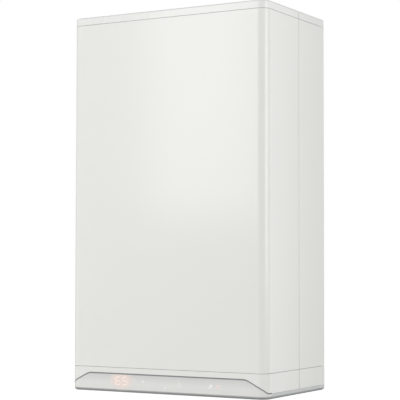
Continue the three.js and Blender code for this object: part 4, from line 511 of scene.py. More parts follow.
class NodeSheet:
    """Adds shader nodes to a material and wires them."""

    def __init__(self, name: str) -> None:
        """Create the material with its shader.

        Args:
            name: Name of the material.
        """
        self.material = bpy.data.materials.new(name)
        self.material.use_nodes = True
        self.tree = self.material.node_tree
        self.shader = self.tree.nodes["Principled BSDF"]
        self.places = self.add("ShaderNodeTexCoord").outputs["Object"]

    def add(self, kind: str, **settings: object) -> bpy.types.Node:
        """Add a node.

        Args:
            kind: Blender's name for the node's type.
            **settings: Its properties.

        Returns:
            The node.
        """
        node = self.tree.nodes.new(kind)
        for key, value in settings.items():
            setattr(node, key, value)
        return node

    def wire(self, source: bpy.types.NodeSocket, node: bpy.types.Node, socket: str | int) -> None:
        """Wire an output to a node's input."""
        self.tree.links.new(source, node.inputs[socket])

    def stretched(self, scale: Point) -> bpy.types.NodeSocket:
        """Return the object's coordinates, scaled along x, y and z."""
        mapping = self.add("ShaderNodeMapping")
        mapping.inputs["Scale"].default_value = scale
        self.wire(self.places, mapping, "Vector")
        return mapping.outputs["Vector"]

    def noise(self, scale: float, detail: float, vector: bpy.types.NodeSocket) -> bpy.types.NodeSocket:
        """Add a noise texture and return its value."""
        node = self.add("ShaderNodeTexNoise")
        node.inputs["Scale"].default_value = scale
        node.inputs["Detail"].default_value = detail
        self.wire(vector, node, "Vector")
        return node.outputs[0]

    def cells(self, scale: float, vector: bpy.types.NodeSocket) -> bpy.types.NodeSocket:
        """Add crystals and return their grey value."""
        node = self.add("ShaderNodeTexVoronoi")
        node.inputs["Scale"].default_value = scale
        self.wire(vector, node, "Vector")
        grey = self.add("ShaderNodeRGBToBW")
        self.wire(node.outputs["Color"], grey, 0)
        return grey.outputs[0]

    def blend(self, factor: bpy.types.NodeSocket, low: Colour, high: Colour) -> bpy.types.NodeSocket:
        """Blend two colours by a noise.

        Args:
            factor: The noise.
            low: Colour at its low end.
            high: Colour at its high end.

        Returns:
            The colour output.
        """
        return self.ramp(factor, ((NOISE_LOW, low), (NOISE_HIGH, high)))

    def ramp(
        self, factor: bpy.types.NodeSocket, stops: Sequence[tuple[float, Colour]]
    ) -> bpy.types.NodeSocket:
        """Colour by a value.

        Args:
            factor: The value.
            stops: Rising values from 0 to 1, with their colours.

        Returns:
            The colour output.
        """
        ramp = self.add("ShaderNodeValToRGB")
        elements = ramp.color_ramp.elements
        while len(elements) < len(stops):
            elements.new(0.5)
        for element, (position, colour) in zip(elements, stops):
            element.position = position
            element.color = (*colour, 1.0)
        self.wire(factor, ramp, "Fac")
        return ramp.outputs["Color"]

    def span(
        self,
        value: bpy.types.NodeSocket,
        low: float,
        high: float,
        start: float = NOISE_LOW,
        end: float = NOISE_HIGH,
    ) -> bpy.types.NodeSocket:
        """Map a value from start..end to low..high."""
        node = self.add("ShaderNodeMapRange")
        for key, number in (("From Min", start), ("From Max", end), ("To Min", low), ("To Max", high)):
            node.inputs[key].default_value = number
        self.wire(value, node, "Value")
        return node.outputs["Result"]

    def levels(self, stops: Sequence[tuple[float, Colour]]) -> bpy.types.NodeSocket:
        """Colour by height, which paints shade on rounded edges and sets the tone along the height.

        Args:
            stops: Heights above the casing's underside, rising, with their colours.

        Returns:
            The colour output.
        """
        split = self.add("ShaderNodeSeparateXYZ")
        self.wire(self.places, split, 0)
        low, high = stops[0][0], stops[-1][0]
        share = self.span(split.outputs["Z"], 0.0, 1.0, UNDERSIDE + low, UNDERSIDE + high)
        return self.ramp(share, [((height - low) / (high - low), colour) for height, colour in stops])

    def painted_glow(
        self, base: bpy.types.NodeSocket, middle: Pair, radius: float, colour: Colour
    ) -> bpy.types.NodeSocket:
        """Paint a soft round glow of another colour over a colour, as painted light.

        Args:
            base: The colour below.
            middle: Its middle as x and height above the underside.
            radius: Its half width, of which its half height is two thirds.
            colour: Its colour in the middle.

        Returns:
            The colour output.
        """
        squash, rim, core = 1.5, 1.3, 0.45
        mapping = self.add("ShaderNodeMapping")
        mapping.inputs["Scale"].default_value = (1.0 / radius, 0.0, squash / radius)
        mapping.inputs["Location"].default_value = (
            -middle[0] / radius,
            0.0,
            -(UNDERSIDE + middle[1]) * squash / radius,
        )
        self.wire(self.places, mapping, "Vector")
        reach = self.add("ShaderNodeVectorMath", operation="LENGTH")
        self.wire(mapping.outputs["Vector"], reach, 0)
        share = self.add("ShaderNodeMapRange", interpolation_type="SMOOTHSTEP")
        for key, number in (("From Min", rim), ("From Max", core), ("To Min", 0.0), ("To Max", 1.0)):
            share.inputs[key].default_value = number
        self.wire(reach.outputs["Value"], share, "Value")
        mix = self.add("ShaderNodeMix", data_type="RGBA")
        self.wire(share.outputs["Result"], mix, 0)
        self.wire(base, mix, 6)
        mix.inputs[7].default_value = (*colour, 1.0)
        return mix.outputs[2]

    def bump(self, height: bpy.types.NodeSocket, strength: float, distance: float) -> None:
        """Drive the shader's normal by a height."""
        node = self.add("ShaderNodeBump")
        node.inputs["Strength"].default_value = strength
        node.inputs["Distance"].default_value = distance
        self.wire(height, node, "Height")
        self.wire(node.outputs["Normal"], self.shader, "Normal")


@dataclass(frozen=True)
class Finish:
    """A finish of the boiler's pieces.

    Attributes:
        name: Name of the material.
        colour: Its colour.
        slot: Material slot of the record; not used.
        texture: How its surface is broken up.
        roughness: Middle roughness.
        metallic: 1 for bare metal.
        coat: Clear coat over it.
        coat_roughness: Roughness of that coat.
        grime: Colour of its duller patches, where it has any.
        glow: Strength of its own light.
        levels: Colours by height above the underside, as (height, colour), where they differ; they paint
            shade on rounded edges and set the tone along the height.
        painted_glow: Middle (x, height), radius and colour of a painted glow: the light that shines through
            it, painted into its colour.
    """

    name: str
    colour: Colour
    slot: str
    texture: Texture = Texture.GRAIN
    roughness: float = 0.5
    metallic: float = 0.0
    coat: float = 0.0
    coat_roughness: float = 0.08
    grime: Colour | None = None
    glow: float = 0.0
    levels: tuple[tuple[float, Colour], ...] = ()
    painted_glow: tuple[Pair, float, Colour] | None = None

    def material(self) -> bpy.types.Material:
        """Return the material, made on first use."""
        known = bpy.data.materials.get(self.name)
        return known if known else self._make()

    def _make(self) -> bpy.types.Material:
        """Wire the material's nodes."""
        sheet = NodeSheet(self.name)
        shader, surface = sheet.shader, SURFACES[self.texture]
        broad_scale, broad_detail, fine_detail, glossiest = 9.0, 3.0, 4.0, 0.03
        vector = sheet.stretched(surface.stretch)
        fine = sheet.noise(surface.scale, fine_detail, vector)
        broad = sheet.noise(broad_scale, broad_detail, sheet.places)
        shade = sheet.cells(surface.scale, vector) if self.texture is Texture.SPANGLE else broad
        dark = tuple(c * (1.0 - surface.mottle) for c in self.colour)
        light = tuple(min(1.0, c * (1.0 + surface.mottle * 0.5)) for c in self.colour)
        # Where a finish has levels, its colour comes from height alone; this paints shade on rounded edges.
        colour = sheet.levels(self.levels) if self.levels else sheet.blend(shade, self.grime or dark, light)
        # painted glow: light round the numerals is painted into the base colour.
        if self.painted_glow:
            colour = sheet.painted_glow(colour, *self.painted_glow)
        sheet.wire(colour, shader, "Base Color")
        low = max(glossiest, self.roughness - surface.rough_swing)
        sheet.wire(sheet.span(broad, low, self.roughness + surface.rough_swing), shader, "Roughness")
        shader.inputs["Metallic"].default_value = self.metallic
        shader.inputs["Coat Weight"].default_value = self.coat
        shader.inputs["Coat Roughness"].default_value = self.coat_roughness
        if self.glow:
            shader.inputs["Emission Color"].default_value = (*self.colour, 1.0)
            shader.inputs["Emission Strength"].default_value = self.glow
        sheet.bump(fine, surface.bump, surface.depth)
        return sheet.material


class Finishes:
    """Every finish on the boiler."""

    ENAMEL = Finish(
        "white_enamel",
        (0.86, 0.862, 0.826),
        "white_paint",
        Texture.ORANGE_PEEL,
        0.3,
        coat=0.7,
        coat_roughness=0.14,
    )
    CAP_ENAMEL_SHADED_TOP = Finish(
        "white_cap_enamel_shaded_top",
        (0.87, 0.87, 0.85),
        "white_paint",
        Texture.ORANGE_PEEL,
        0.28,
        coat=0.6,
        coat_roughness=0.12,
        # painted shade: the rounding of the top edge is made darker over the top 3 mm.
        levels=((0.7520, (0.87, 0.87, 0.845)), (0.7650, (0.87, 0.87, 0.85)), (0.7668, (0.74, 0.74, 0.73))),
    )
    FASCIA = Finish(
        "grey_fascia_gloss",
        (0.72, 0.725, 0.715),
        "grey_fascia",
        Texture.SMOOTH,
        0.24,
        coat=0.25,
        # painted shade: the rounded lower edge is made dark up to 6 mm; above 18 mm the colour grows darker
        # towards the top.
        levels=(
            (0.0010, (0.24, 0.245, 0.245)),
            (0.0035, (0.34, 0.345, 0.345)),
            (0.0060, (0.80, 0.80, 0.775)),
            (0.0180, (0.81, 0.81, 0.785)),
            (0.0360, (0.69, 0.69, 0.675)),
        ),
        # painted glow: a pinkish patch of the numerals' light is painted into the pane's colour round them.
        painted_glow=((-0.1025, 0.0232), 0.027, (0.93, 0.79, 0.74)),
    )
    # painted shade: dark grey for the groove above the fascia and for the strips under the lower edges.
    FASCIA_SHADE = Finish("fascia_shade_grey", (0.27, 0.28, 0.285), "grey_fascia", Texture.SMOOTH, 0.25)
    TRAY = Finish(
        "grey_tray",
        (0.66, 0.67, 0.67),
        "grey_fascia",
        Texture.GRAIN,
        0.35,
        # painted shade: the rounded lower edge is made dark up to 5 mm.
        levels=(
            (0.0008, (0.24, 0.245, 0.25)),
            (0.0030, (0.34, 0.345, 0.35)),
            (0.0048, (0.63, 0.64, 0.64)),
            (0.0100, (0.66, 0.67, 0.67)),
        ),
    )
    ZINC = Finish("zinc_sheet", (0.62, 0.64, 0.65), "galvanised", Texture.SPANGLE, 0.4, 0.9)
    STAINLESS = Finish("satin_stainless", (0.66, 0.655, 0.64), "stainless", Texture.BRUSHED, 0.3, 1.0)
    SCREW = Finish("screw_steel", (0.55, 0.56, 0.57), "stainless", Texture.DRAWN, 0.3, 1.0)
    CAST = Finish("cast_aluminium", (0.55, 0.56, 0.57), "cast_aluminium", Texture.CAST, 0.48, 0.9)
    COPPER = Finish(
        "drawn_copper", (0.78, 0.4, 0.24), "copper", Texture.DRAWN, 0.28, 1.0, grime=(0.52, 0.24, 0.14)
    )
    BRASS = Finish(
        "forged_brass", (0.74, 0.55, 0.25), "brass", Texture.CAST, 0.34, 1.0, grime=(0.56, 0.4, 0.17)
    )
    DARK = Finish("dark_moulding", (0.03, 0.031, 0.034), "dark_moulding", Texture.GRAIN, 0.5)
    GREY = Finish("grey_moulding", (0.2, 0.215, 0.225), "grey_moulding", Texture.GRAIN, 0.46)
    WHITE = Finish("white_moulding", (0.78, 0.78, 0.75), "white_moulding", Texture.GRAIN, 0.42)
    RED_ENAMEL = Finish("red_enamel", (0.42, 0.03, 0.02), "red_paint", Texture.ORANGE_PEEL, 0.3, coat=0.4)
    RED = Finish("red_moulding", (0.55, 0.02, 0.015), "red_moulding", Texture.GRAIN, 0.4)
    BOARD = Finish("board_green", (0.03, 0.16, 0.07), "green_board", Texture.SMOOTH, 0.35, coat=0.3)
    GASKET = Finish("gasket_fibre", (0.06, 0.06, 0.055), "gasket", Texture.CAST, 0.9)
    LINING = Finish("cover_lining", (0.30, 0.30, 0.29), "gasket", Texture.CAST, 0.9)
    SILICONE = Finish("lead_silicone", (0.3, 0.05, 0.03), "silicone", Texture.GRAIN, 0.5)
    CERAMIC = Finish("electrode_ceramic", (0.8, 0.77, 0.7), "white_moulding", Texture.SMOOTH, 0.2, coat=0.4)
    DIGIT_GLOW = Finish("digit_glow", (0.97, 0.85, 0.78), "grey_fascia", Texture.SMOOTH, 0.4, glow=0.09)
    RED_GLOW = Finish("mark_glow_red", (0.92, 0.77, 0.74), "grey_fascia", Texture.SMOOTH, 0.4, glow=0.04)
    WHITE_GLOW = Finish("mark_glow_white", (0.91, 0.915, 0.92), "grey_fascia", Texture.SMOOTH, 0.4, glow=0.02)


# -------------------------------------------------------------------------------- casing


@dataclass
class Casing:
    """Sheet-metal casing with its lift-off front cover.

    Attributes:
        width: Across the casing.
        depth: Wall to the front.
        height: Underside to the top.
        corner: Radius of the upright front corners.
        sheet: Thickness of the sheet.
        parting: Wall to the upright seam of the sides.
        gap: Width of the upright seams.
        seam: Width of the level seams.
        top_band: Height of the top cap.
        low_seam: Underside to the seam above the lower band.
        top_edge: Radius of the casing's top edge.
        base_edge: Radius of its bottom edge.
        lip: Reach of the caps over the top plate.
        flange: Turned-in edge of the front panel.
        open_reach: How near the panel's middle a face of its top or bottom has to lie to be its opening.
        fold: Turned-in edge of the side panels.
        fascia_rear: Wall to the fascia's ends.
        tray_side: Height of the tray's sides.
        clearance: Between the fascia or the tray and what is above or behind it.
    """

    width: float = 0.450
    depth: float = 0.265
    height: float = 0.768
    corner: float = 0.018
    sheet: float = 0.0012
    parting: float = 0.1194
    gap: float = 0.0011
    seam: float = 0.0005
    top_band: float = 0.0164
    low_seam: float = 0.049
    top_edge: float = 0.003
    base_edge: float = 0.0045
    lip: float = 0.014
    flange: float = 0.012
    open_reach: float = 0.03
    fold: float = 0.014
    fascia_rear: float = 0.240
    tray_side: float = 0.010
    clearance: float = 0.0003

    def build(self) -> None:
        """Make every piece of the casing."""
        self.front_panel()
        self.caps()
        self.side_panels()
        self.lower_bands()

    def level(self, height: float) -> float:
        """Return the z of a height above the casing's underside."""
        return UNDERSIDE + height

    def shell(
        self, name: str, rear: float, front: float, bottom: float, top: float, open_faces: Sequence[Point]
    ) -> Workshop:
        """Make an open box of the casing's width, with its faces removed where it is open.

        Args:
            name: Name of the piece.
            rear: Distance from the wall to its back.
            front: Distance from the wall to its front.
            bottom: Height of its lower edge.
            top: Height of its upper edge.
            open_faces: Normals of the faces that are missing.

        Returns:
            The workshop that holds the shell.
        """
        half = self.width / 2
        shop = Workshop.box(name, (-half, -front, self.level(bottom)), (half, -rear, self.level(top)))
        for direction in open_faces:
            shop.delete(facing(direction))
        return shop

    def round_corners(self, shop: Workshop, front: float) -> Workshop:
        """Round the two upright front corners of a shell."""
        return shop.bevel(
            lambda edge: edge_along(edge, 2) and edge_middle(edge).y < -front + NEAR, self.corner, 20
        )

    def front_panel(self) -> None:
        """Press the front panel, with its sides and turned-in edges."""
        rear = self.parting + self.gap / 2
        top = self.height - self.top_band
        shop = self.shell("front_panel_sheet", rear, self.depth, self.low_seam, top, [(0, 1, 0)])
        self.round_corners(shop, self.depth)
        self.turn_in(shop, rear)
        shop.thicken(self.sheet).pressed()
        place(shop, "front_cover", Finishes.ENAMEL, "front_panel")

    def turn_in(self, shop: Workshop, rear: float) -> None:
        """Open the top and bottom of the front panel, with a turned-in edge left at each.

        Args:
            shop: The panel.
            rear: Distance from the wall to its back.
        """
        for sign in (-1.0, 1.0):
            shop.inset(facing((0, 0, sign)), self.flange)
            shop.delete(
                lambda face: face.normal.z * sign > SAME_WAY
                and self.in_opening(face.calc_center_median(), rear)
            )

    def in_opening(self, at: Vector, rear: float) -> bool:
        """Say whether a point of the front panel's top or bottom lies where it is open."""
        centre = -(self.depth + rear) / 2
        in_middle = abs(at.x) < self.width / 4 and abs(at.y - centre) < self.open_reach
        return in_middle or at.y > -rear - self.flange

    def caps(self) -> None:
        """Press the front and the rear cap that finish the top edge."""
        bottom = self.height - self.top_band + self.seam
        for name, node, rear, front, body in (
            ("front_cap_sheet", "front_top_cap", self.parting + self.gap / 2, self.depth, "front_cover"),
            ("rear_cap_sheet", "rear_top_cap", 0.0, self.parting - self.gap / 2, "chassis"),
        ):
            is_front = body == "front_cover"
            half = self.width / 2
            ends = [(0, 1, 0)] if is_front else [(0, -1, 0)]
            shop = self.shell(name, rear, front, bottom, self.height, [*ends, (0, 0, -1)])
            if is_front:
                self.round_corners(shop, front)
            open_y = -rear if is_front else -front
            shop.bevel(
                lambda edge: edge_middle(edge).z > self.level(self.height) - 1e-5
                and abs(edge_middle(edge).y - open_y) > NEAR,
                self.top_edge,
                5,
            )
            keep, line = half - self.lip, (self.lip - front) if is_front else -self.lip
            for at, normal in (
                ((keep, 0, 0), (1, 0, 0)),
                ((-keep, 0, 0), (1, 0, 0)),
                ((0, line, 0), (0, 1, 0)),
            ):
                shop.cut(at, normal)
            shop.delete(
                lambda face: face.normal.z > 0.99
                and abs(face.calc_center_median().x) < keep
                and (face.calc_center_median().y > line if is_front else face.calc_center_median().y < line)
            )
            shop.thicken(self.sheet).pressed()
            # The caps' finish paints shade on their top edge.
            place(shop, body, Finishes.CAP_ENAMEL_SHADED_TOP, node)

    def side_panels(self) -> None:
        """Fold the two rear side panels."""
        half, top = self.width / 2, self.height - self.top_band
        inner = half - self.fold
        front = self.parting - self.gap / 2
        right = Workshop.box(
            "side_sheet_right", (inner, -front, self.level(self.low_seam)), (half, 0.0, self.level(top))
        )
        right.delete(facing((-1, 0, 0))).delete(facing((0, 0, 1))).delete(facing((0, 0, -1)))
        right.thicken(self.sheet).soften(0.0004, 3).smooth(30.0)
        left = right.copy("side_sheet_left", mirror_x=True)
        place(right, "chassis", Finishes.ENAMEL, "side_panel_right")
        place(left, "chassis", Finishes.ENAMEL, "side_panel_left")

    def lower_shell(
        self, name: str, rear: float, front: float, wall: float, ends: Sequence[Point]
    ) -> Workshop:
        """Make the casing's lowest stretch as a rounded shell, to be cut to shape.

        Args:
            name: Name of the piece.
            rear: Distance from the wall to its back.
            front: Distance from the wall to its front.
            wall: Thickness of its walls.
            ends: Normals of its open ends.

        Returns:
            The workshop that holds the shell.
        """
        shop = self.shell(name, rear, front, 0.0, self.low_seam - self.seam, [*ends, (0, 0, 1)])
        if front > self.parting:
            self.round_corners(shop, front)
        shop.bevel(
            lambda edge: edge_middle(edge).z < UNDERSIDE + 1e-5
            and not (edge_along(edge, 0) and edge_middle(edge).y > -rear - NEAR)
            and not (edge_along(edge, 0) and front < self.parting and edge_middle(edge).y < -front + NEAR),
            self.base_edge,
            8,
        )
        return shop.thicken(wall).outward()

    def lower_bands(self) -> None:
        """Press the band above the fascia and the one behind it."""
        fascia, far, behind = Fascia(self), 1.0, 0.1
        low = self.level(self.tray_side + self.clearance)
        front = self.lower_shell(
            "front_band_sheet", self.parting + self.gap / 2, self.depth, self.sheet, [(0, 1, 0)]
        )
        front.carve(fascia.zone("band_cutter", self.clearance, self.fascia_rear))
        front.carve(Workshop.box("band_side_cutter", (-far, -self.fascia_rear, -far), (far, behind, low)))
        place(front.pressed(), "front_cover", Finishes.ENAMEL, "front_lower_band")
        rear = self.lower_shell(
            "rear_band_sheet", 0.0, self.parting - self.gap / 2, self.sheet, [(0, -1, 0)]
        )
        rear.carve(Workshop.box("rear_band_cutter", (-far, -far, -far), (far, far, low)))
        place(rear.pressed(), "chassis", Finishes.ENAMEL, "rear_lower_band")
        fascia.build()


DIGITS: tuple[tuple[float, str], ...] = ((-0.1110, "6"), (-0.0945, "5"))  # middle x and numeral
MARKS: dict[str, tuple[Finish, tuple[Bar, ...]]] = {
    "mark_dash": (Finishes.WHITE_GLOW, ((-0.072, 0.0257, 0.0058, 0.0014),)),
    "mark_dot": (Finishes.WHITE_GLOW, ((-0.0517, 0.0224, 0.0048, 0.0048),)),
    "mark_key": (Finishes.WHITE_GLOW, ((0.0007, 0.0117, 0.0050, 0.0050),)),
    "mark_arch": (
        Finishes.WHITE_GLOW,
        (
            (0.0330, 0.0228, 0.0072, 0.0014),
            (0.0301, 0.0188, 0.0014, 0.0084),
            (0.0359, 0.0188, 0.0014, 0.0084),
        ),
    ),
    "mark_tap": (
        Finishes.WHITE_GLOW,
        ((0.1030, 0.0172, 0.0098, 0.0024), (0.1046, 0.0216, 0.0064, 0.0044)),
    ),
    "mark_flame": (
        Finishes.RED_GLOW,
        ((0.1217, 0.0215, 0.0100, 0.0030), (0.1217, 0.0178, 0.0064, 0.0020)),
    ),
}


@dataclass
class Fascia:
    """Grey glossy fascia along the lower front edge, with the marks that shine through it.

    Attributes:
        casing: The casing that it belongs to.
        height: Height of its level top line.
        wall: Its thickness.
        shoulder: Half length of the level line.
        slope: Run of the sloping ends.
        bend: Half length of the bend between them.
        end_height: Height where the slope meets the corner.
        side_height: Height at the sides.
        edge: Height of the dark band along its top, painted shade for the groove above the pane.
        recess: From the casing's face back to the pane's face. The marks fill it.
        shade_trim_inset: From the casing's faces in to the trim, a dark strip of painted shade under the
            lower edge.
        shade_trim_width: Thickness of the trim.
        shade_trim_bottom: Height of its lower edge.
        shade_trim_top: Height of its upper edge.
        digit_width: Width of a numeral.
        digit_height: Height of a numeral.
        digit_bar: Thickness of its segments.
        digit_level: Height of its middle.
    """

    casing: Casing
    height: float = 0.0373
    wall: float = 0.0025
    shoulder: float = 0.1815
    slope: float = 0.0305
    bend: float = 0.007
    end_height: float = 0.0217
    side_height: float = 0.011
    edge: float = 0.0022
    recess: float = 0.0003
    shade_trim_inset: float = 0.0022
    shade_trim_width: float = 0.0030
    shade_trim_bottom: float = -0.0004
    shade_trim_top: float = 0.0020
    digit_width: float = 0.0110
    digit_height: float = 0.0150
    digit_bar: float = 0.0022
    digit_level: float = 0.0222

    def build(self) -> None:
        """Make the fascia, its dark band and trims of painted shade, and its marks."""
        self.pane()
        self.shade_trims()
        self.marks()

    def shade_trims(self) -> None:
        """Set the dark trims of painted shade under the fascia's lower edge and under the tray's sides."""
        casing = self.casing
        low, high = casing.level(self.shade_trim_bottom), casing.level(self.shade_trim_top)
        half, front = casing.width / 2 - self.shade_trim_inset, casing.depth - self.shade_trim_inset
        rear = casing.fascia_rear + casing.clearance
        # painted shade: a dark strip set in behind the rounded lower edge, reaching 0.4 mm below the
        # underside, stands for the shadow there.
        rim = Workshop.box("fascia_shade_trim", (-half, -front, low), (half, -rear, high))
        for direction in ((0, 1, 0), (0, 0, 1), (0, 0, -1)):
            rim.delete(facing(direction))
        rim.bevel(
            lambda edge: edge_along(edge, 2) and edge_middle(edge).y < NEAR - front,
            casing.corner - self.shade_trim_inset,
            16,
        )
        place(rim.thicken(self.shade_trim_width).moulded(), "front_cover", Finishes.FASCIA_SHADE)
        tray_front, tray_rear = casing.clearance - casing.fascia_rear, -self.shade_trim_width
        for sign, side in ((-1, "left"), (1, "right")):
            left, right = sorted((sign * half, sign * (half - self.shade_trim_width)))
            strip = Workshop.box(f"tray_shade_trim_{side}", (left, tray_front, low), (right, tray_rear, high))
            place(strip.moulded(), "chassis", Finishes.FASCIA_SHADE)

    def outline(self, grow: float) -> list[Pair]:
        """Return the outline seen from the front.

        Args:
            grow: How far it is raised.

        Returns:
            Corners as (x, z), in order.
        """
        overhang, below, steps = 0.001, -0.05, 8
        end = self.casing.width / 2 + overhang
        far = self.shoulder + self.slope
        fall = (self.height - self.end_height) / self.slope
        right = [
            (end, self.side_height),
            (far + 0.0112, self.side_height + 0.0016),
            (far + 0.0060, self.side_height + 0.0068),
            (far, self.end_height),
        ]
        first = Vector((self.shoulder + self.bend, self.height - self.bend * fall))
        corner = Vector((self.shoulder, self.height))
        last = Vector((self.shoulder - self.bend, self.height))
        for step in range(steps + 1):
            t = step / steps
            point = first * (1 - t) ** 2 + corner * 2 * t * (1 - t) + last * t**2
            right.append((point.x, point.y))
        left = [(-x, z) for x, z in reversed(right)]
        points = [(-end, below), (end, below), *right, *left]
        return [(x, self.casing.level(z + grow)) for x, z in points]

    def zone(self, name: str, grow: float, rear: float) -> Workshop:
        """Make the solid under the outline, as a cutter.

        Args:
            name: Name of the cutter.
            grow: How far the outline is raised.
            rear: Distance from the wall to its back.

        Returns:
            The workshop that holds it.
        """
        overhang = 0.02
        return Workshop.plate(name, self.outline(grow), -rear, -self.casing.depth - overhang)

    def pane(self) -> None:
        """Mould the fascia and the dark band of painted shade on its top edge."""
        casing, deep = self.casing, 0.01
        rear = casing.fascia_rear + casing.clearance
        shell = casing.lower_shell("fascia_pane", rear, casing.depth - self.recess, self.wall, [(0, 1, 0)])
        # painted shade: a dark band along the fascia's top stands for the shadow in the groove there.
        line = casing.lower_shell("fascia_shade_line", rear, casing.depth, self.wall, [(0, 1, 0)])
        shell.carve(self.zone("pane_cutter", -self.edge, rear - deep), "INTERSECT")
        shell.soften(0.0004, 2).smooth(35.0)
        line.carve(self.zone("line_cutter", 0.0, rear - deep), "INTERSECT")
        line.carve(self.zone("line_lower_cutter", -self.edge, rear - deep))
        line.smooth(35.0)
        place(shell, "front_cover", Finishes.FASCIA, "display_fascia")
        place(line, "front_cover", Finishes.FASCIA_SHADE)

    def marks(self) -> None:
        """Set the glowing numerals and the touch marks on the pane."""
        for index, (x, shape) in enumerate(DIGITS):
            self.numeral(f"numeral_{index}", x, shape)
        for name, (finish, bars) in MARKS.items():
            self.mark(name, bars, finish)

    def mark(self, name: str, bars: Sequence[Bar], finish: Finish) -> None:
        """Build one mark of rounded bars that lie flush with the casing's face.

        Args:
            name: Name of the piece.
            bars: Each bar's middle x, middle height, width and height.
            finish: Its finish.
        """
        face, proud, sunk = -self.casing.depth, 0.00002, 0.0002
        pieces = []
        for index, (x, z, width, tall) in enumerate(bars):
            level = self.casing.level(z)
            bar = Workshop.box(
                f"{name}_{index}",
                (x - width / 2, face + proud, level - tall / 2),
                (x + width / 2, face + self.recess + sunk, level + tall / 2),
            )
            rounding = min(width, tall) * 0.45
            pieces.append(bar.bevel(lambda edge: edge_along(edge, 1), rounding, 4))
        whole = pieces[0].join(pieces[1:])
        whole.obj.name = name
        place(whole.soften(0.00006, 2).smooth(40.0), "front_cover", finish)

    def numeral(self, name: str, x: float, shape: str) -> None:
        """Build one seven-segment numeral.

        Args:
            name: Name of the piece.
            x: Its middle.
            shape: The numeral.
        """
        z, wide, tall, bar = self.digit_level, self.digit_width, self.digit_height, self.digit_bar
        segments = {
            "a": (0, tall / 2, wide - bar, bar),
            "g": (0, 0, wide - bar, bar),
            "d": (0, -tall / 2, wide - bar, bar),
            "f": (-wide / 2, tall / 4, bar, tall / 2 - bar),
            "b": (wide / 2, tall / 4, bar, tall / 2 - bar),
            "e": (-wide / 2, -tall / 4, bar, tall / 2 - bar),
            "c": (wide / 2, -tall / 4, bar, tall / 2 - bar),
        }
        lit = {"5": "afgcd", "6": "afgedc"}[shape]
        bars = [(x + dx, z + dz, width, height) for dx, dz, width, height in map(segments.get, lit)]
        self.mark(name, bars, Finishes.DIGIT_GLOW)


# -------------------------------------------------------------------------------- studio


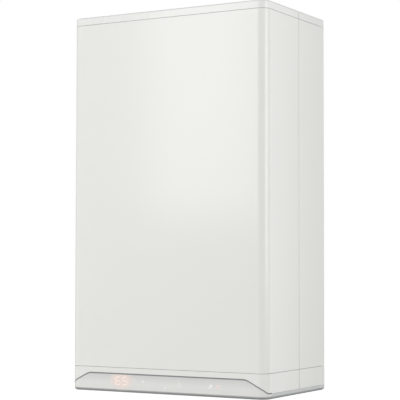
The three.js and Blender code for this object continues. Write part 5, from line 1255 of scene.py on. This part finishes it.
@dataclass
class Studio:
    """Camera, floor, room and lamps.

    The camera's place and turn, the room's light and the lamps' powers come from fits to the
    photograph: the camera's to the casing's corners, the light's to its brightness.

    Attributes:
        eye: Place of the camera.
        azimuth: Its turn from straight ahead, in degrees, seen from the right.
        pitch: How far it looks up, in degrees.
        roll: Its roll, in degrees.
        focal_pixels: Focal length in pixels of the picture.
        picture_pixels: Width of the picture.
        sensor: Width of the camera's sensor in millimetres.
        floor_level: Height of the floor, which is a room's floor below a hung boiler.
        floor_size: Its length and width.
        floor_paint: Brightness and roughness of the floor's paint.
        floor_glow: How much light the floor adds of its own, to the camera alone.
        room_light: Strength of the even light of the room.
        unseen: Lamps that are left out of reflections.
        lamps: Name, place, target, size and power of each lamp.
    """

    eye: Point = (1.41462, -2.59713, -0.44413)
    azimuth: float = 29.787
    pitch: float = 2.717
    roll: float = 0.1055
    focal_pixels: float = 1370.25
    picture_pixels: int = 400
    sensor: float = 36.0
    floor_level: float = -1.75
    floor_size: float = 80.0
    floor_paint: float = 0.8
    floor_glow: float = 0.74
    room_light: float = 0.364
    unseen: tuple[str, ...] = ("far_left_lamp", "low_lamp")
    lamps: list[tuple[str, Point, Point, Pair, float]] = field(
        default_factory=lambda: [
            ("front_strip_lamp", (-1.45, -3.0, 0.5), (0.1, -0.265, -0.1), (0.5, 1.5), 6.9),
            ("far_left_lamp", (-2.9, -1.6, 0.0), (-0.1, -0.265, -0.3), (1.2, 2.0), 28.7),
            ("high_front_lamp", (0.0, -2.4, 2.2), (0.0, -0.2, -0.2), (2.0, 1.4), 28.4),
            ("rear_right_lamp", (3.0, 0.7, 0.2), (0.22, -0.15, -0.3), (1.2, 2.0), 11.0),
            ("right_lamp", (3.2, -0.6, 0.4), (0.22, -0.15, -0.3), (1.4, 2.0), 26.5),
            ("back_strip_lamp", (1.95, 2.4, 0.1), (0.22, -0.15, -0.3), (0.9, 2.4), 8.7),
            ("low_lamp", (-0.5, -3.0, -1.2), (0.0, -0.26, -0.5), (1.6, 0.8), 13.1),
        ]
    )

    def build(self) -> None:
        """Set up the whole studio."""
        bpy.context.scene.view_settings.view_transform = "Standard"
        self.camera()
        self.floor()
        self.room()
        for lamp in self.lamps:
            self.lamp(*lamp)

    def camera(self) -> None:
        """Place the camera where the photograph was taken from."""
        a, p, r = (math.radians(v) for v in (self.azimuth, self.pitch, self.roll))
        ahead = Vector((-math.sin(a) * math.cos(p), math.cos(a) * math.cos(p), math.sin(p)))
        right = Vector((math.cos(a), math.sin(a), 0.0))
        up = right.cross(ahead)
        right_rolled = right * math.cos(r) + up * math.sin(r)
        up_rolled = up * math.cos(r) - right * math.sin(r)
        data = bpy.data.cameras.new("camera")
        data.sensor_fit = "HORIZONTAL"
        data.sensor_width = self.sensor
        data.lens = self.focal_pixels / self.picture_pixels * self.sensor
        data.clip_start, data.clip_end = 0.05, 60.0
        camera = bpy.data.objects.new("camera", data)
        bpy.context.scene.collection.objects.link(camera)
        turn = Matrix((right_rolled, up_rolled, -ahead)).transposed().to_4x4()
        camera.matrix_world = Matrix.Translation(self.eye) @ turn
        bpy.context.scene.camera = camera

    def floor(self) -> None:
        """Lay a plain pale floor: white to the camera, and with the boiler's shadow on it."""
        deselect_all()
        bpy.ops.mesh.primitive_plane_add(size=self.floor_size, location=(0.0, 0.0, self.floor_level))
        floor = bpy.context.object
        floor.name = "studio_floor"
        sheet = NodeSheet("floor_paint")
        paint = self.floor_paint
        sheet.shader.inputs["Base Color"].default_value = (paint, paint, paint, 1.0)
        sheet.shader.inputs["Roughness"].default_value = paint
        rays = sheet.add("ShaderNodeLightPath")
        glow = sheet.span(rays.outputs["Is Camera Ray"], 0.0, self.floor_glow, 0.0, 1.0)
        sheet.wire(glow, sheet.shader, "Emission Strength")
        sheet.shader.inputs["Emission Color"].default_value = (1.0, 1.0, 1.0, 1.0)
        floor.data.materials.append(sheet.material)

    def room(self) -> None:
        """Give the room an even light, and show it white to the camera, also through clear pieces."""
        world = bpy.data.worlds.new("room")
        bpy.context.scene.world = world
        world.use_nodes = True
        tree = world.node_tree
        even = tree.nodes["Background"]
        even.inputs["Strength"].default_value = self.room_light
        even.inputs["Color"].default_value = (1.0, 1.0, 1.0, 1.0)
        white = tree.nodes.new("ShaderNodeBackground")
        white.inputs["Color"].default_value = (1.0, 1.0, 1.0, 1.0)
        rays = tree.nodes.new("ShaderNodeLightPath")
        seen = tree.nodes.new("ShaderNodeMath")
        seen.operation = "MAXIMUM"
        mix = tree.nodes.new("ShaderNodeMixShader")
        tree.links.new(rays.outputs["Is Camera Ray"], seen.inputs[0])
        tree.links.new(rays.outputs["Is Transmission Ray"], seen.inputs[1])
        tree.links.new(seen.outputs[0], mix.inputs[0])
        tree.links.new(even.outputs[0], mix.inputs[1])
        tree.links.new(white.outputs[0], mix.inputs[2])
        tree.links.new(mix.outputs[0], tree.nodes["World Output"].inputs["Surface"])

    def lamp(self, name: str, spot: Point, target: Point, size: Pair, power: float) -> None:
        """Hang a soft lamp.

        Args:
            name: Its name.
            spot: Its place.
            target: The point that it faces.
            size: Width and height of its face.
            power: Its power in watts.
        """
        data = bpy.data.lights.new(name, "AREA")
        data.shape = "RECTANGLE"
        data.size, data.size_y = size
        data.energy = power
        lamp = bpy.data.objects.new(name, data)
        bpy.context.scene.collection.objects.link(lamp)
        lamp.visible_glossy = name not in self.unseen
        lamp.location = spot
        lamp.rotation_euler = (Vector(target) - Vector(spot)).to_track_quat("-Z", "Y").to_euler()


# -------------------------------------------------------------------------------- inside


def spot(x: float, setback: float, height: float) -> Vector:
    """Return a place from millimetres across, from the wall and above the underside."""
    return Vector((x / 1000, -setback / 1000, UNDERSIDE + height / 1000))


class Way(Enum):
    """Direction that a screw's head or a nut faces."""

    FORWARD = (0.0, -1.0, 0.0)
    BACK = (0.0, 1.0, 0.0)
    UP = (0.0, 0.0, 1.0)
    RIGHT = (1.0, 0.0, 0.0)


@dataclass(frozen=True)
class Screw:
    """Flanged hexagon screw.

    Attributes:
        across: Width of its head over the corners.
        head: Height of its head.
        washer: Width of the flange under it.
    """

    across: float = 0.0085
    head: float = 0.0035
    washer: float = 0.0105

    def model(self, name: str) -> Workshop:
        """Model one screw that stands at the origin and faces up."""
        sunk, flange_top, head_low = -0.0002, 0.0008, 0.0006
        flange = Workshop.rod(name, self.washer / 2, (0, 0, sunk), (0, 0, flange_top), 20, self.washer * 0.46)
        head = Workshop.rod(f"{name}_head", self.across / 2, (0, 0, head_low), (0, 0, self.head), 6)
        head.bevel(lambda edge: edge_middle(edge).z > self.head - 1e-6, self.head * 0.16, 2)
        head.inset(lambda face: face.normal.z > 0.99, self.across * 0.14, -self.head * 0.12)
        return flange.join([head])


@dataclass(frozen=True)
class UnionNut:
    """Hexagon nut round a pipe.

    Attributes:
        across: Width over the corners.
        bore: Width of its hole.
        height: Its height.
    """

    across: float
    bore: float
    height: float = 0.013

    def model(self, name: str) -> Workshop:
        """Model one nut that stands at the origin and faces up."""
        chamfer = 0.485
        low, high = (0, 0, -0.001), (0, 0, self.height + 0.001)
        nut = Workshop.rod(name, self.across / 2, (0, 0, 0), (0, 0, self.height), 6)
        nut.carve(Workshop.rod(f"{name}_round", self.across * chamfer, low, high, 40), "INTERSECT")
        nut.carve(Workshop.rod(f"{name}_bore", self.bore / 2, low, high, 32))
        return nut.soften(0.0007, 2)


def row_of(name: str, model: Workshop, places: Sequence[tuple[Vector, Way]], finish: Finish) -> None:
    """Set copies of a small part at several places of the chassis, as one piece.

    Args:
        name: Name of the piece.
        model: The part, which stands at the origin and faces up. It is used up.
        places: Each place with the direction that it faces.
        finish: Its finish.
    """
    copies = []
    for index, (where, way) in enumerate(places):
        twin = model.copy(f"{name}_{index}")
        turn = Vector(way.value).to_track_quat("Z", "Y").to_matrix().to_4x4()
        twin.obj.data.transform(Matrix.Translation(where) @ turn)
        copies.append(twin)
    bpy.data.objects.remove(model.obj, do_unlink=True)
    whole = copies[0].join(copies[1:])
    whole.obj.name = name
    place(whole.smooth(35.0), "chassis", finish)


def facing_front(places: Iterable[Vector]) -> list[tuple[Vector, Way]]:
    """Pair every place with the forward direction."""
    return [(where, Way.FORWARD) for where in places]


def ring(middle: Pair, radius: float, count: int, start: float, setback: float) -> list[Vector]:
    """Space places evenly on a circle seen from the front.

    Args:
        middle: Its middle as x and height, in millimetres.
        radius: Its radius in millimetres.
        count: Number of places.
        start: Angle of the first in degrees.
        setback: Distance from the wall in millimetres.

    Returns:
        The places.
    """
    angles = [math.radians(start + 360.0 * i / count) for i in range(count)]
    return [spot(middle[0] + radius * math.cos(a), setback, middle[1] + radius * math.sin(a)) for a in angles]


def wire(name: str, route: Sequence[Vector], radius: float, finish: Finish) -> None:
    """Run a wire of the chassis through points on a smooth line.

    Args:
        name: Name of the piece.
        route: Its points.
        radius: Its radius.
        finish: Its finish.
    """
    curve = bpy.data.curves.new(name, "CURVE")
    curve.dimensions = "3D"
    curve.bevel_depth = radius
    curve.bevel_resolution = 3
    curve.resolution_u = 8
    curve.use_fill_caps = True
    line = curve.splines.new("BEZIER")
    line.bezier_points.add(len(route) - 1)
    for point, where in zip(line.bezier_points, route):
        point.co = where
        point.handle_left_type = point.handle_right_type = "AUTO"
    obj = bpy.data.objects.new(name, curve)
    bpy.context.scene.collection.objects.link(obj)
    deselect_all()
    obj.select_set(True)
    bpy.context.view_layer.objects.active = obj
    bpy.ops.object.convert(target="MESH")
    place(Workshop(bpy.context.object).smooth(50.0, weighted=False), "chassis", finish)


@dataclass
class Burner:
    """Fasteners of the burner door, the fan and the gas line, in millimetres.

    Attributes:
        door: Middle of the burner door, x and height.
        door_circle: Radius of its screws' circle.
        door_rim: Wall to the face of its rim.
        fan: Middle of the fan.
        fan_front: Wall to the fan's front.
        scroll: Angle in degrees and radius of each screw round the scroll.
        duct: Middle of the mixing duct's flange: x, distance from the wall and height.
        duct_pitch: Half the spacing of its screws, across and along the depth.
        mixer_circle: Radius of the circle of the mixer's screws.
        mixer_front: Wall to the mixer's front.
        valve: Places of the gas valve's screws.
    """

    door: Pair = (38.0, 560.0)
    door_circle: float = 112.0
    door_rim: float = 174.7
    fan: Pair = (-10.0, 365.0)
    fan_front: float = 233.4
    scroll: tuple[Pair, ...] = ((105, 54), (160, 57), (215, 60), (268, 62), (318, 64))
    duct: Point = (38, 211, 439.4)
    duct_pitch: Pair = (24.5, 18)
    mixer_circle: float = 34.5
    mixer_front: float = 237.6
    valve: tuple[Point, ...] = ((102, 186.1, 344), (102, 186.1, 400), (158, 186.1, 400))

    def build(self) -> None:
        """Set every fastener."""
        rim = facing_front(ring(self.door, self.door_circle, 6, 0, self.door_rim))
        row_of("door_screws", Screw(0.011, 0.0055, 0.0135).model("door_screw"), rim, Finishes.SCREW)
        (x, z), small = self.fan, Screw(0.0068, 0.003, 0.0084)
        body = facing_front(
            spot(x + r * math.cos(math.radians(a)), self.fan_front, z + r * math.sin(math.radians(a)))
            for a, r in self.scroll
        )
        (across, setback, level), (half_x, half_y) = self.duct, self.duct_pitch
        flange = [
            (spot(across + a * half_x, setback + b * half_y, level), Way.UP)
            for a in (-1, 1)
            for b in (-1, 1)
        ]
        mixer = facing_front(ring(self.fan, self.mixer_circle, 3, 90, self.mixer_front))
        valve = facing_front(spot(*where) for where in self.valve)
        row_of("fan_screws", small.model("fan_screw"), [*body, *flange, *mixer], Finishes.SCREW)
        row_of("valve_screws", small.model("valve_screw"), valve, Finishes.SCREW)


@dataclass
class Plumbing:
    """Union nuts, screws and the sensor's clip on the water and gas pipes, in millimetres.

    Attributes:
        nuts: Place and direction of each union nut.
        plate_x: Columns of the plate exchanger's screws.
        plate_levels: Their rows.
        plate_front: Wall to the exchanger's front.
        pump: Middle of the pump, x and height.
        pump_circle: Radius of its screws' circle.
        pump_rim: Wall to the face of its rim.
        clip: Place of the sensor's clip.
    """

    nuts: tuple[tuple[Point, Way], ...] = (
        ((-165, 55, 177), Way.UP),
        ((176, 54, 644), Way.RIGHT),
        ((130, 94, 196), Way.UP),
        ((176, 130.5, 476), Way.RIGHT),
        ((0, 55, 16), Way.UP),
    )
    plate_x: Pair = (-84, 64)
    plate_levels: Pair = (104, 138)
    plate_front: float = 129.6
    pump: Pair = (130.0, 150.0)
    pump_circle: float = 41.0
    pump_rim: float = 117.0
    clip: Point = (-30, 55, 275)

    def build(self) -> None:
        """Set the nuts, the screws and the clip."""
        nuts = [(spot(*where), way) for where, way in self.nuts]
        row_of("pipe_nuts", UnionNut(0.029, 0.0182).model("pipe_nut"), nuts, Finishes.BRASS)
        plate = facing_front(spot(x, self.plate_front, z) for x in self.plate_x for z in self.plate_levels)
        row_of("plate_screws", Screw().model("plate_screw"), plate, Finishes.SCREW)
        right_two = ring(self.pump, self.pump_circle, 4, 45, self.pump_rim)[::3]
        small = Screw(0.0068, 0.004, 0.0084).model("pump_screw")
        row_of("pump_screws", small, facing_front(right_two), Finishes.SCREW)
        clip = UnionNut(0.026, 0.0182, 0.010).model("sensor_clip")
        row_of("sensor_clip", clip, [(spot(*self.clip), Way.RIGHT)], Finishes.DARK)


@dataclass
class Loom:
    """Wires from the control box to what it drives, and their ties.

    Attributes:
        thin: Radius of a thin wire, in metres.
        thick: Radius of a thick one, in metres.
        ties: Middle of each tie, in millimetres.
        tie_reach: Half the width of a tie, in millimetres.
        tie_rise: Half the height of a tie, in millimetres.
    """

    thin: float = 0.0017
    thick: float = 0.0026
    ties: tuple[Point, ...] = ((209, 151, 300), (209, 150, 500), (-63, 176, 210))
    tie_reach: float = 3.6
    tie_rise: float = 2

    def build(self) -> None:
        """Run every wire and tie it."""
        runs: tuple[tuple[str, float, Finish, tuple[Point, ...]], ...] = (
            ("fan_wire", self.thick, Finishes.DARK, (
                (-60, 194, 74), (-61, 186, 92), (-62, 179, 150), (-64, 174, 260), (-66, 171, 360),
                (-58, 166, 396), (-40, 164, 404), (-21, 163, 400),
            )),
            ("valve_wire", self.thin, Finishes.SILICONE, (
                (60, 194, 74), (62, 187, 92), (74, 178, 140), (77, 174, 210), (84, 165, 290),
                (86, 157, 345), (87, 156, 400), (90, 156, 421), (97.5, 156, 426),
            )),
            ("pump_wire", self.thick, Finishes.DARK, (
                (120, 194, 76), (118, 186, 86), (109, 175, 100), (104, 165, 112), (103, 160, 124.5),
            )),
            ("valve_motor_wire", self.thin, Finishes.WHITE, (
                (-120, 194, 74), (-122, 184, 96), (-125, 150, 160), (-129, 112, 202),
                (-130, 92, 214), (-130, 81, 216),
            )),
            ("ignition_supply", self.thick, Finishes.GREY, (
                (125, 194, 72), (150, 191, 92), (196, 182, 108), (208, 170, 145), (209, 152, 260),
                (209, 150, 420), (209, 150, 590), (205, 125, 670), (180, 80, 718), (140, 50, 722),
                (115, 42, 716),
            )),
            ("sensor_wire", self.thin, Finishes.WHITE, (
                (0, 194, 74), (-5, 186, 92), (-18, 168, 160), (-20, 155, 205), (-22, 120, 235),
                (-24, 84, 262), (-25, 67, 273),
            )),
        )
        for name, radius, finish, route in runs:
            wire(name, [spot(*point) for point in route], radius, finish)
        side, rise = self.tie_reach, self.tie_rise
        for index, (x, setback, z) in enumerate(self.ties):
            low, high = spot(x - side, setback - side, z - rise), spot(x + side, setback + side, z + rise)
            tie = Workshop.box(f"wire_tie_{index}", (low.x, high.y, low.z), (high.x, low.y, high.z))
            tie.bevel(lambda edge: edge_along(edge, 2), 0.0026, 5).soften(0.0005, 2).smooth(40.0)
            place(tie, "chassis", Finishes.DARK)


@dataclass
class CoverInside:
    """Lining and rails on the inside of the front cover.

    Attributes:
        half: Half width of the lining.
        bottom: Height of its lower edge.
        top: Height of its upper edge.
        foam: Its thickness.
        face: Wall to the inner face of the sheet.
        corner: Radius of the lining's corners.
        border: Width of its flat border.
        cushion: Rise of the lining inside that border.
        rail_inner: Middle of the cover to a rail's inner face.
        rail_outer: Middle of the cover to its outer face.
        rail_depth: Depth of the rails.
        rail_rounding: Radius of their free edges.
    """

    half: float = 0.196
    bottom: float = 0.070
    top: float = 0.735
    foam: float = 0.004
    face: float = 0.2638
    corner: float = 0.012
    border: float = 0.006
    cushion: float = 0.0014
    rail_inner: float = 0.1985
    rail_outer: float = 0.2055
    rail_depth: float = 0.008
    rail_rounding: float = 0.003

    def build(self) -> None:
        """Glue in the lining and weld on the rails."""
        low, high = UNDERSIDE + self.bottom, UNDERSIDE + self.top
        self.lining(low, high)
        for sign, side in ((-1, "left"), (1, "right")):
            left, right = sorted((sign * self.rail_inner, sign * self.rail_outer))
            tip = self.rail_depth - self.face
            rail = Workshop.box(f"cover_rail_{side}", (left, -self.face, low), (right, tip, high))
            rail.bevel(
                lambda edge: edge_along(edge, 2) and edge_middle(edge).y > tip - NEAR,
                self.rail_rounding,
                4,
            )
            place(rail.soften(0.0004, 2).smooth(40.0), "front_cover", Finishes.ENAMEL)

    def lining(self, low: float, high: float) -> None:
        """Cut the lining between two levels and raise its middle."""
        middle_area = 0.1
        pad = Workshop.box(
            "cover_lining", (-self.half, -self.face, low), (self.half, self.foam - self.face, high)
        )
        pad.bevel(lambda edge: edge_along(edge, 1), self.corner, 8)
        pad.inset(facing((0, 1, 0)), self.border)
        pad.extrude(
            lambda face: face.normal.y > SAME_WAY and face.calc_area() > middle_area,
            (0.0, self.cushion, 0.0),
        )
        place(pad.soften(0.0009, 3).smooth(40.0), "front_cover", Finishes.LINING)


@dataclass
class Outside:
    """Screws, seals and grommets on the top, the back and the underside, in millimetres.

    Attributes:
        plate_level: Height at which the screws of the top plate sit.
        flue_level: Height at which the flue's screws sit.
        back_setback: Distance from the wall at which the back plate's screws sit.
        flue_setback: Wall to the flue's axis.
        flue_circle: Radius of the circle of its screws.
        seals: Name, radius, half thickness and height of each flue seal.
        tails: Middle x, distance from the wall and radius of each pipe tail.
        rubber: How much wider a grommet is than its pipe, in metres.
        slack: How much wider its hole is than its pipe, in metres.
    """

    plate_level: float = 766.6
    flue_level: float = 770.4
    back_setback: float = 3.6
    flue_setback: float = 130
    flue_circle: float = 56.5
    seals: tuple[tuple[str, float, float, float], ...] = (
        ("flue_outer_seal", 51.4, 1.5, 779.5),
        ("flue_inner_seal", 31.4, 1.3, 776.5),
    )
    tails: tuple[Point, ...] = (
        (-130, 55, 11),
        (-65, 55, 7.5),
        (0, 55, 9),
        (65, 55, 7.5),
        (130, 55, 11),
        (175, 55, 7.5),
    )
    rubber: float = 0.009
    slack: float = 0.0004

    def build(self) -> None:
        """Set the screws, the seals and the grommets."""
        self.screws()
        for seal in self.seals:
            self.seal(*seal)
        for index, tail in enumerate(self.tails):
            self.grommet(f"tail_grommet_{index}", *tail)

    def screws(self) -> None:
        """Set the screws of the top plate, the flue and the back plate."""
        top = [(spot(x, y, self.plate_level), Way.UP) for x in (-195, 0, 195) for y in (28, 238)]
        row_of("top_plate_screws", Screw(0.0068, 0.003, 0.009).model("top_plate_screw"), top, Finishes.SCREW)
        reach, middle = self.flue_circle, self.flue_setback
        flange = [
            (spot(reach * math.cos(a), middle + reach * math.sin(a), self.flue_level), Way.UP)
            for a in (math.radians(45 + 90 * i) for i in range(4))
        ]
        row_of("flue_screws", Screw(0.0058, 0.0026, 0.0068).model("flue_screw"), flange, Finishes.SCREW)
        back = [(spot(x, self.back_setback, z), Way.BACK) for x in (-205, 205) for z in (90, 400, 640)]
        row_of("back_screws", Screw(0.006, 0.0024, 0.008).model("back_screw"), back, Finishes.SCREW)

    def seal(self, name: str, radius: float, tube: float, level: float) -> None:
        """Lay one round seal in the flue, of a radius and half thickness, at a height."""
        deselect_all()
        bpy.ops.mesh.primitive_torus_add(
            major_radius=radius / 1000,
            minor_radius=tube / 1000,
            major_segments=72,
            minor_segments=12,
            location=spot(0, self.flue_setback, level),
        )
        seal = Workshop(bpy.context.object)._named(name)
        place(seal.smooth(60.0, weighted=False), "chassis", Finishes.GASKET)

    def grommet(self, name: str, x: float, setback: float, radius: float) -> None:
        """Set one grommet round a pipe tail.

        Args:
            name: Its name.
            x: Middle of the tail.
            setback: Distance from the wall to it.
            radius: Radius of the pipe.
        """
        pipe = 0.002 * radius
        ends = spot(x, setback, -1.2), spot(x, setback, 3.4)
        hole_ends = spot(x, setback, -3), spot(x, setback, 6)
        outer = Workshop.rod(name, (pipe + self.rubber) / 2, *ends, 40)
        outer.carve(Workshop.rod("grommet_bore", (pipe + self.slack) / 2, *hole_ends, 40))
        place(outer.moulded(), "chassis", Finishes.GASKET)


NODE_FINISHES: dict[str, Finish] = {
    "cover_lock_left": Finishes.SCREW,
    "cover_lock_right": Finishes.SCREW,
    "base_tray": Finishes.TRAY,
    "top_plate": Finishes.ZINC,
    "back_plate": Finishes.ZINC,
    "wall_bracket": Finishes.ZINC,
    "flue_socket": Finishes.WHITE,
    "flue_pipe": Finishes.WHITE,
    "hx_housing": Finishes.STAINLESS,
    "hx_coil": Finishes.STAINLESS,
    "hx_header": Finishes.CAST,
    "door_gasket": Finishes.GASKET,
    "burner_door": Finishes.CAST,
    "burner_tube": Finishes.STAINLESS,
    "electrode_pair": Finishes.CERAMIC,
    "mixing_duct": Finishes.CAST,
    "fan_housing": Finishes.CAST,
    "fan_impeller": Finishes.DARK,
    "fan_motor": Finishes.DARK,
    "venturi_mixer": Finishes.DARK,
    "gas_valve": Finishes.CAST,
    "gas_valve_solenoid": Finishes.DARK,
    "gas_inlet_pipe": Finishes.COPPER,
    "gas_outlet_pipe": Finishes.COPPER,
    "ignition_unit": Finishes.DARK,
    "ignition_lead": Finishes.SILICONE,
    "expansion_vessel": Finishes.RED_ENAMEL,
    "vessel_bracket": Finishes.ZINC,
    "vessel_hose": Finishes.DARK,
    "hx_flow_pipe": Finishes.COPPER,
    "hx_return_pipe": Finishes.COPPER,
    "air_vent": Finishes.BRASS,
    "flow_block": Finishes.BRASS,
    "diverter_spindle": Finishes.STAINLESS,
    "diverter_actuator": Finishes.DARK,
    "return_block": Finishes.BRASS,
    "plate_exchanger": Finishes.STAINLESS,
    "pump_housing": Finishes.GREY,
    "pump_impeller": Finishes.DARK,
    "pump_motor": Finishes.DARK,
    "relief_valve": Finishes.BRASS,
    "relief_knob": Finishes.RED,
    "flow_sensor_body": Finishes.BRASS,
    "flow_turbine": Finishes.WHITE,
    "trap_head": Finishes.GREY,
    "trap_cup": Finishes.WHITE,
    "condensate_hose": Finishes.GREY,
    "control_housing": Finishes.DARK,
    "control_cover": Finishes.DARK,
    "main_board": Finishes.BOARD,
    "display_board": Finishes.BOARD,
}
BODY_OF_NODE = {
    "cover_lock_left": "lock_left",
    "cover_lock_right": "lock_right",
    "fan_impeller": "fan_rotor",
    "pump_impeller": "pump_rotor",
    "diverter_spindle": "diverter",
    "relief_knob": "relief_handle",
    "flow_turbine": "turbine",
    "trap_cup": "trap_bowl",
}


def dress_nodes() -> None:
    """Round and dress a merged copy of each inner piece."""
    for node, finish in NODE_FINISHES.items():
        shop = Workshop.node(f"{node}_piece", node)
        shop.soften(0.0005, 2, 38.0).smooth(50.0)
        place(shop, BODY_OF_NODE.get(node, "chassis"), finish, node)


def main() -> None:
    """Build the scene in order."""
    logging.basicConfig(level=logging.INFO, format="%(name)s: %(message)s")
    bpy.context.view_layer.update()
    Studio().build()
    Casing().build()
    dress_nodes()
    for group in (Burner(), Plumbing(), Loom(), CoverInside(), Outside()):
        group.build()


if __name__ == "__main__":
    main()
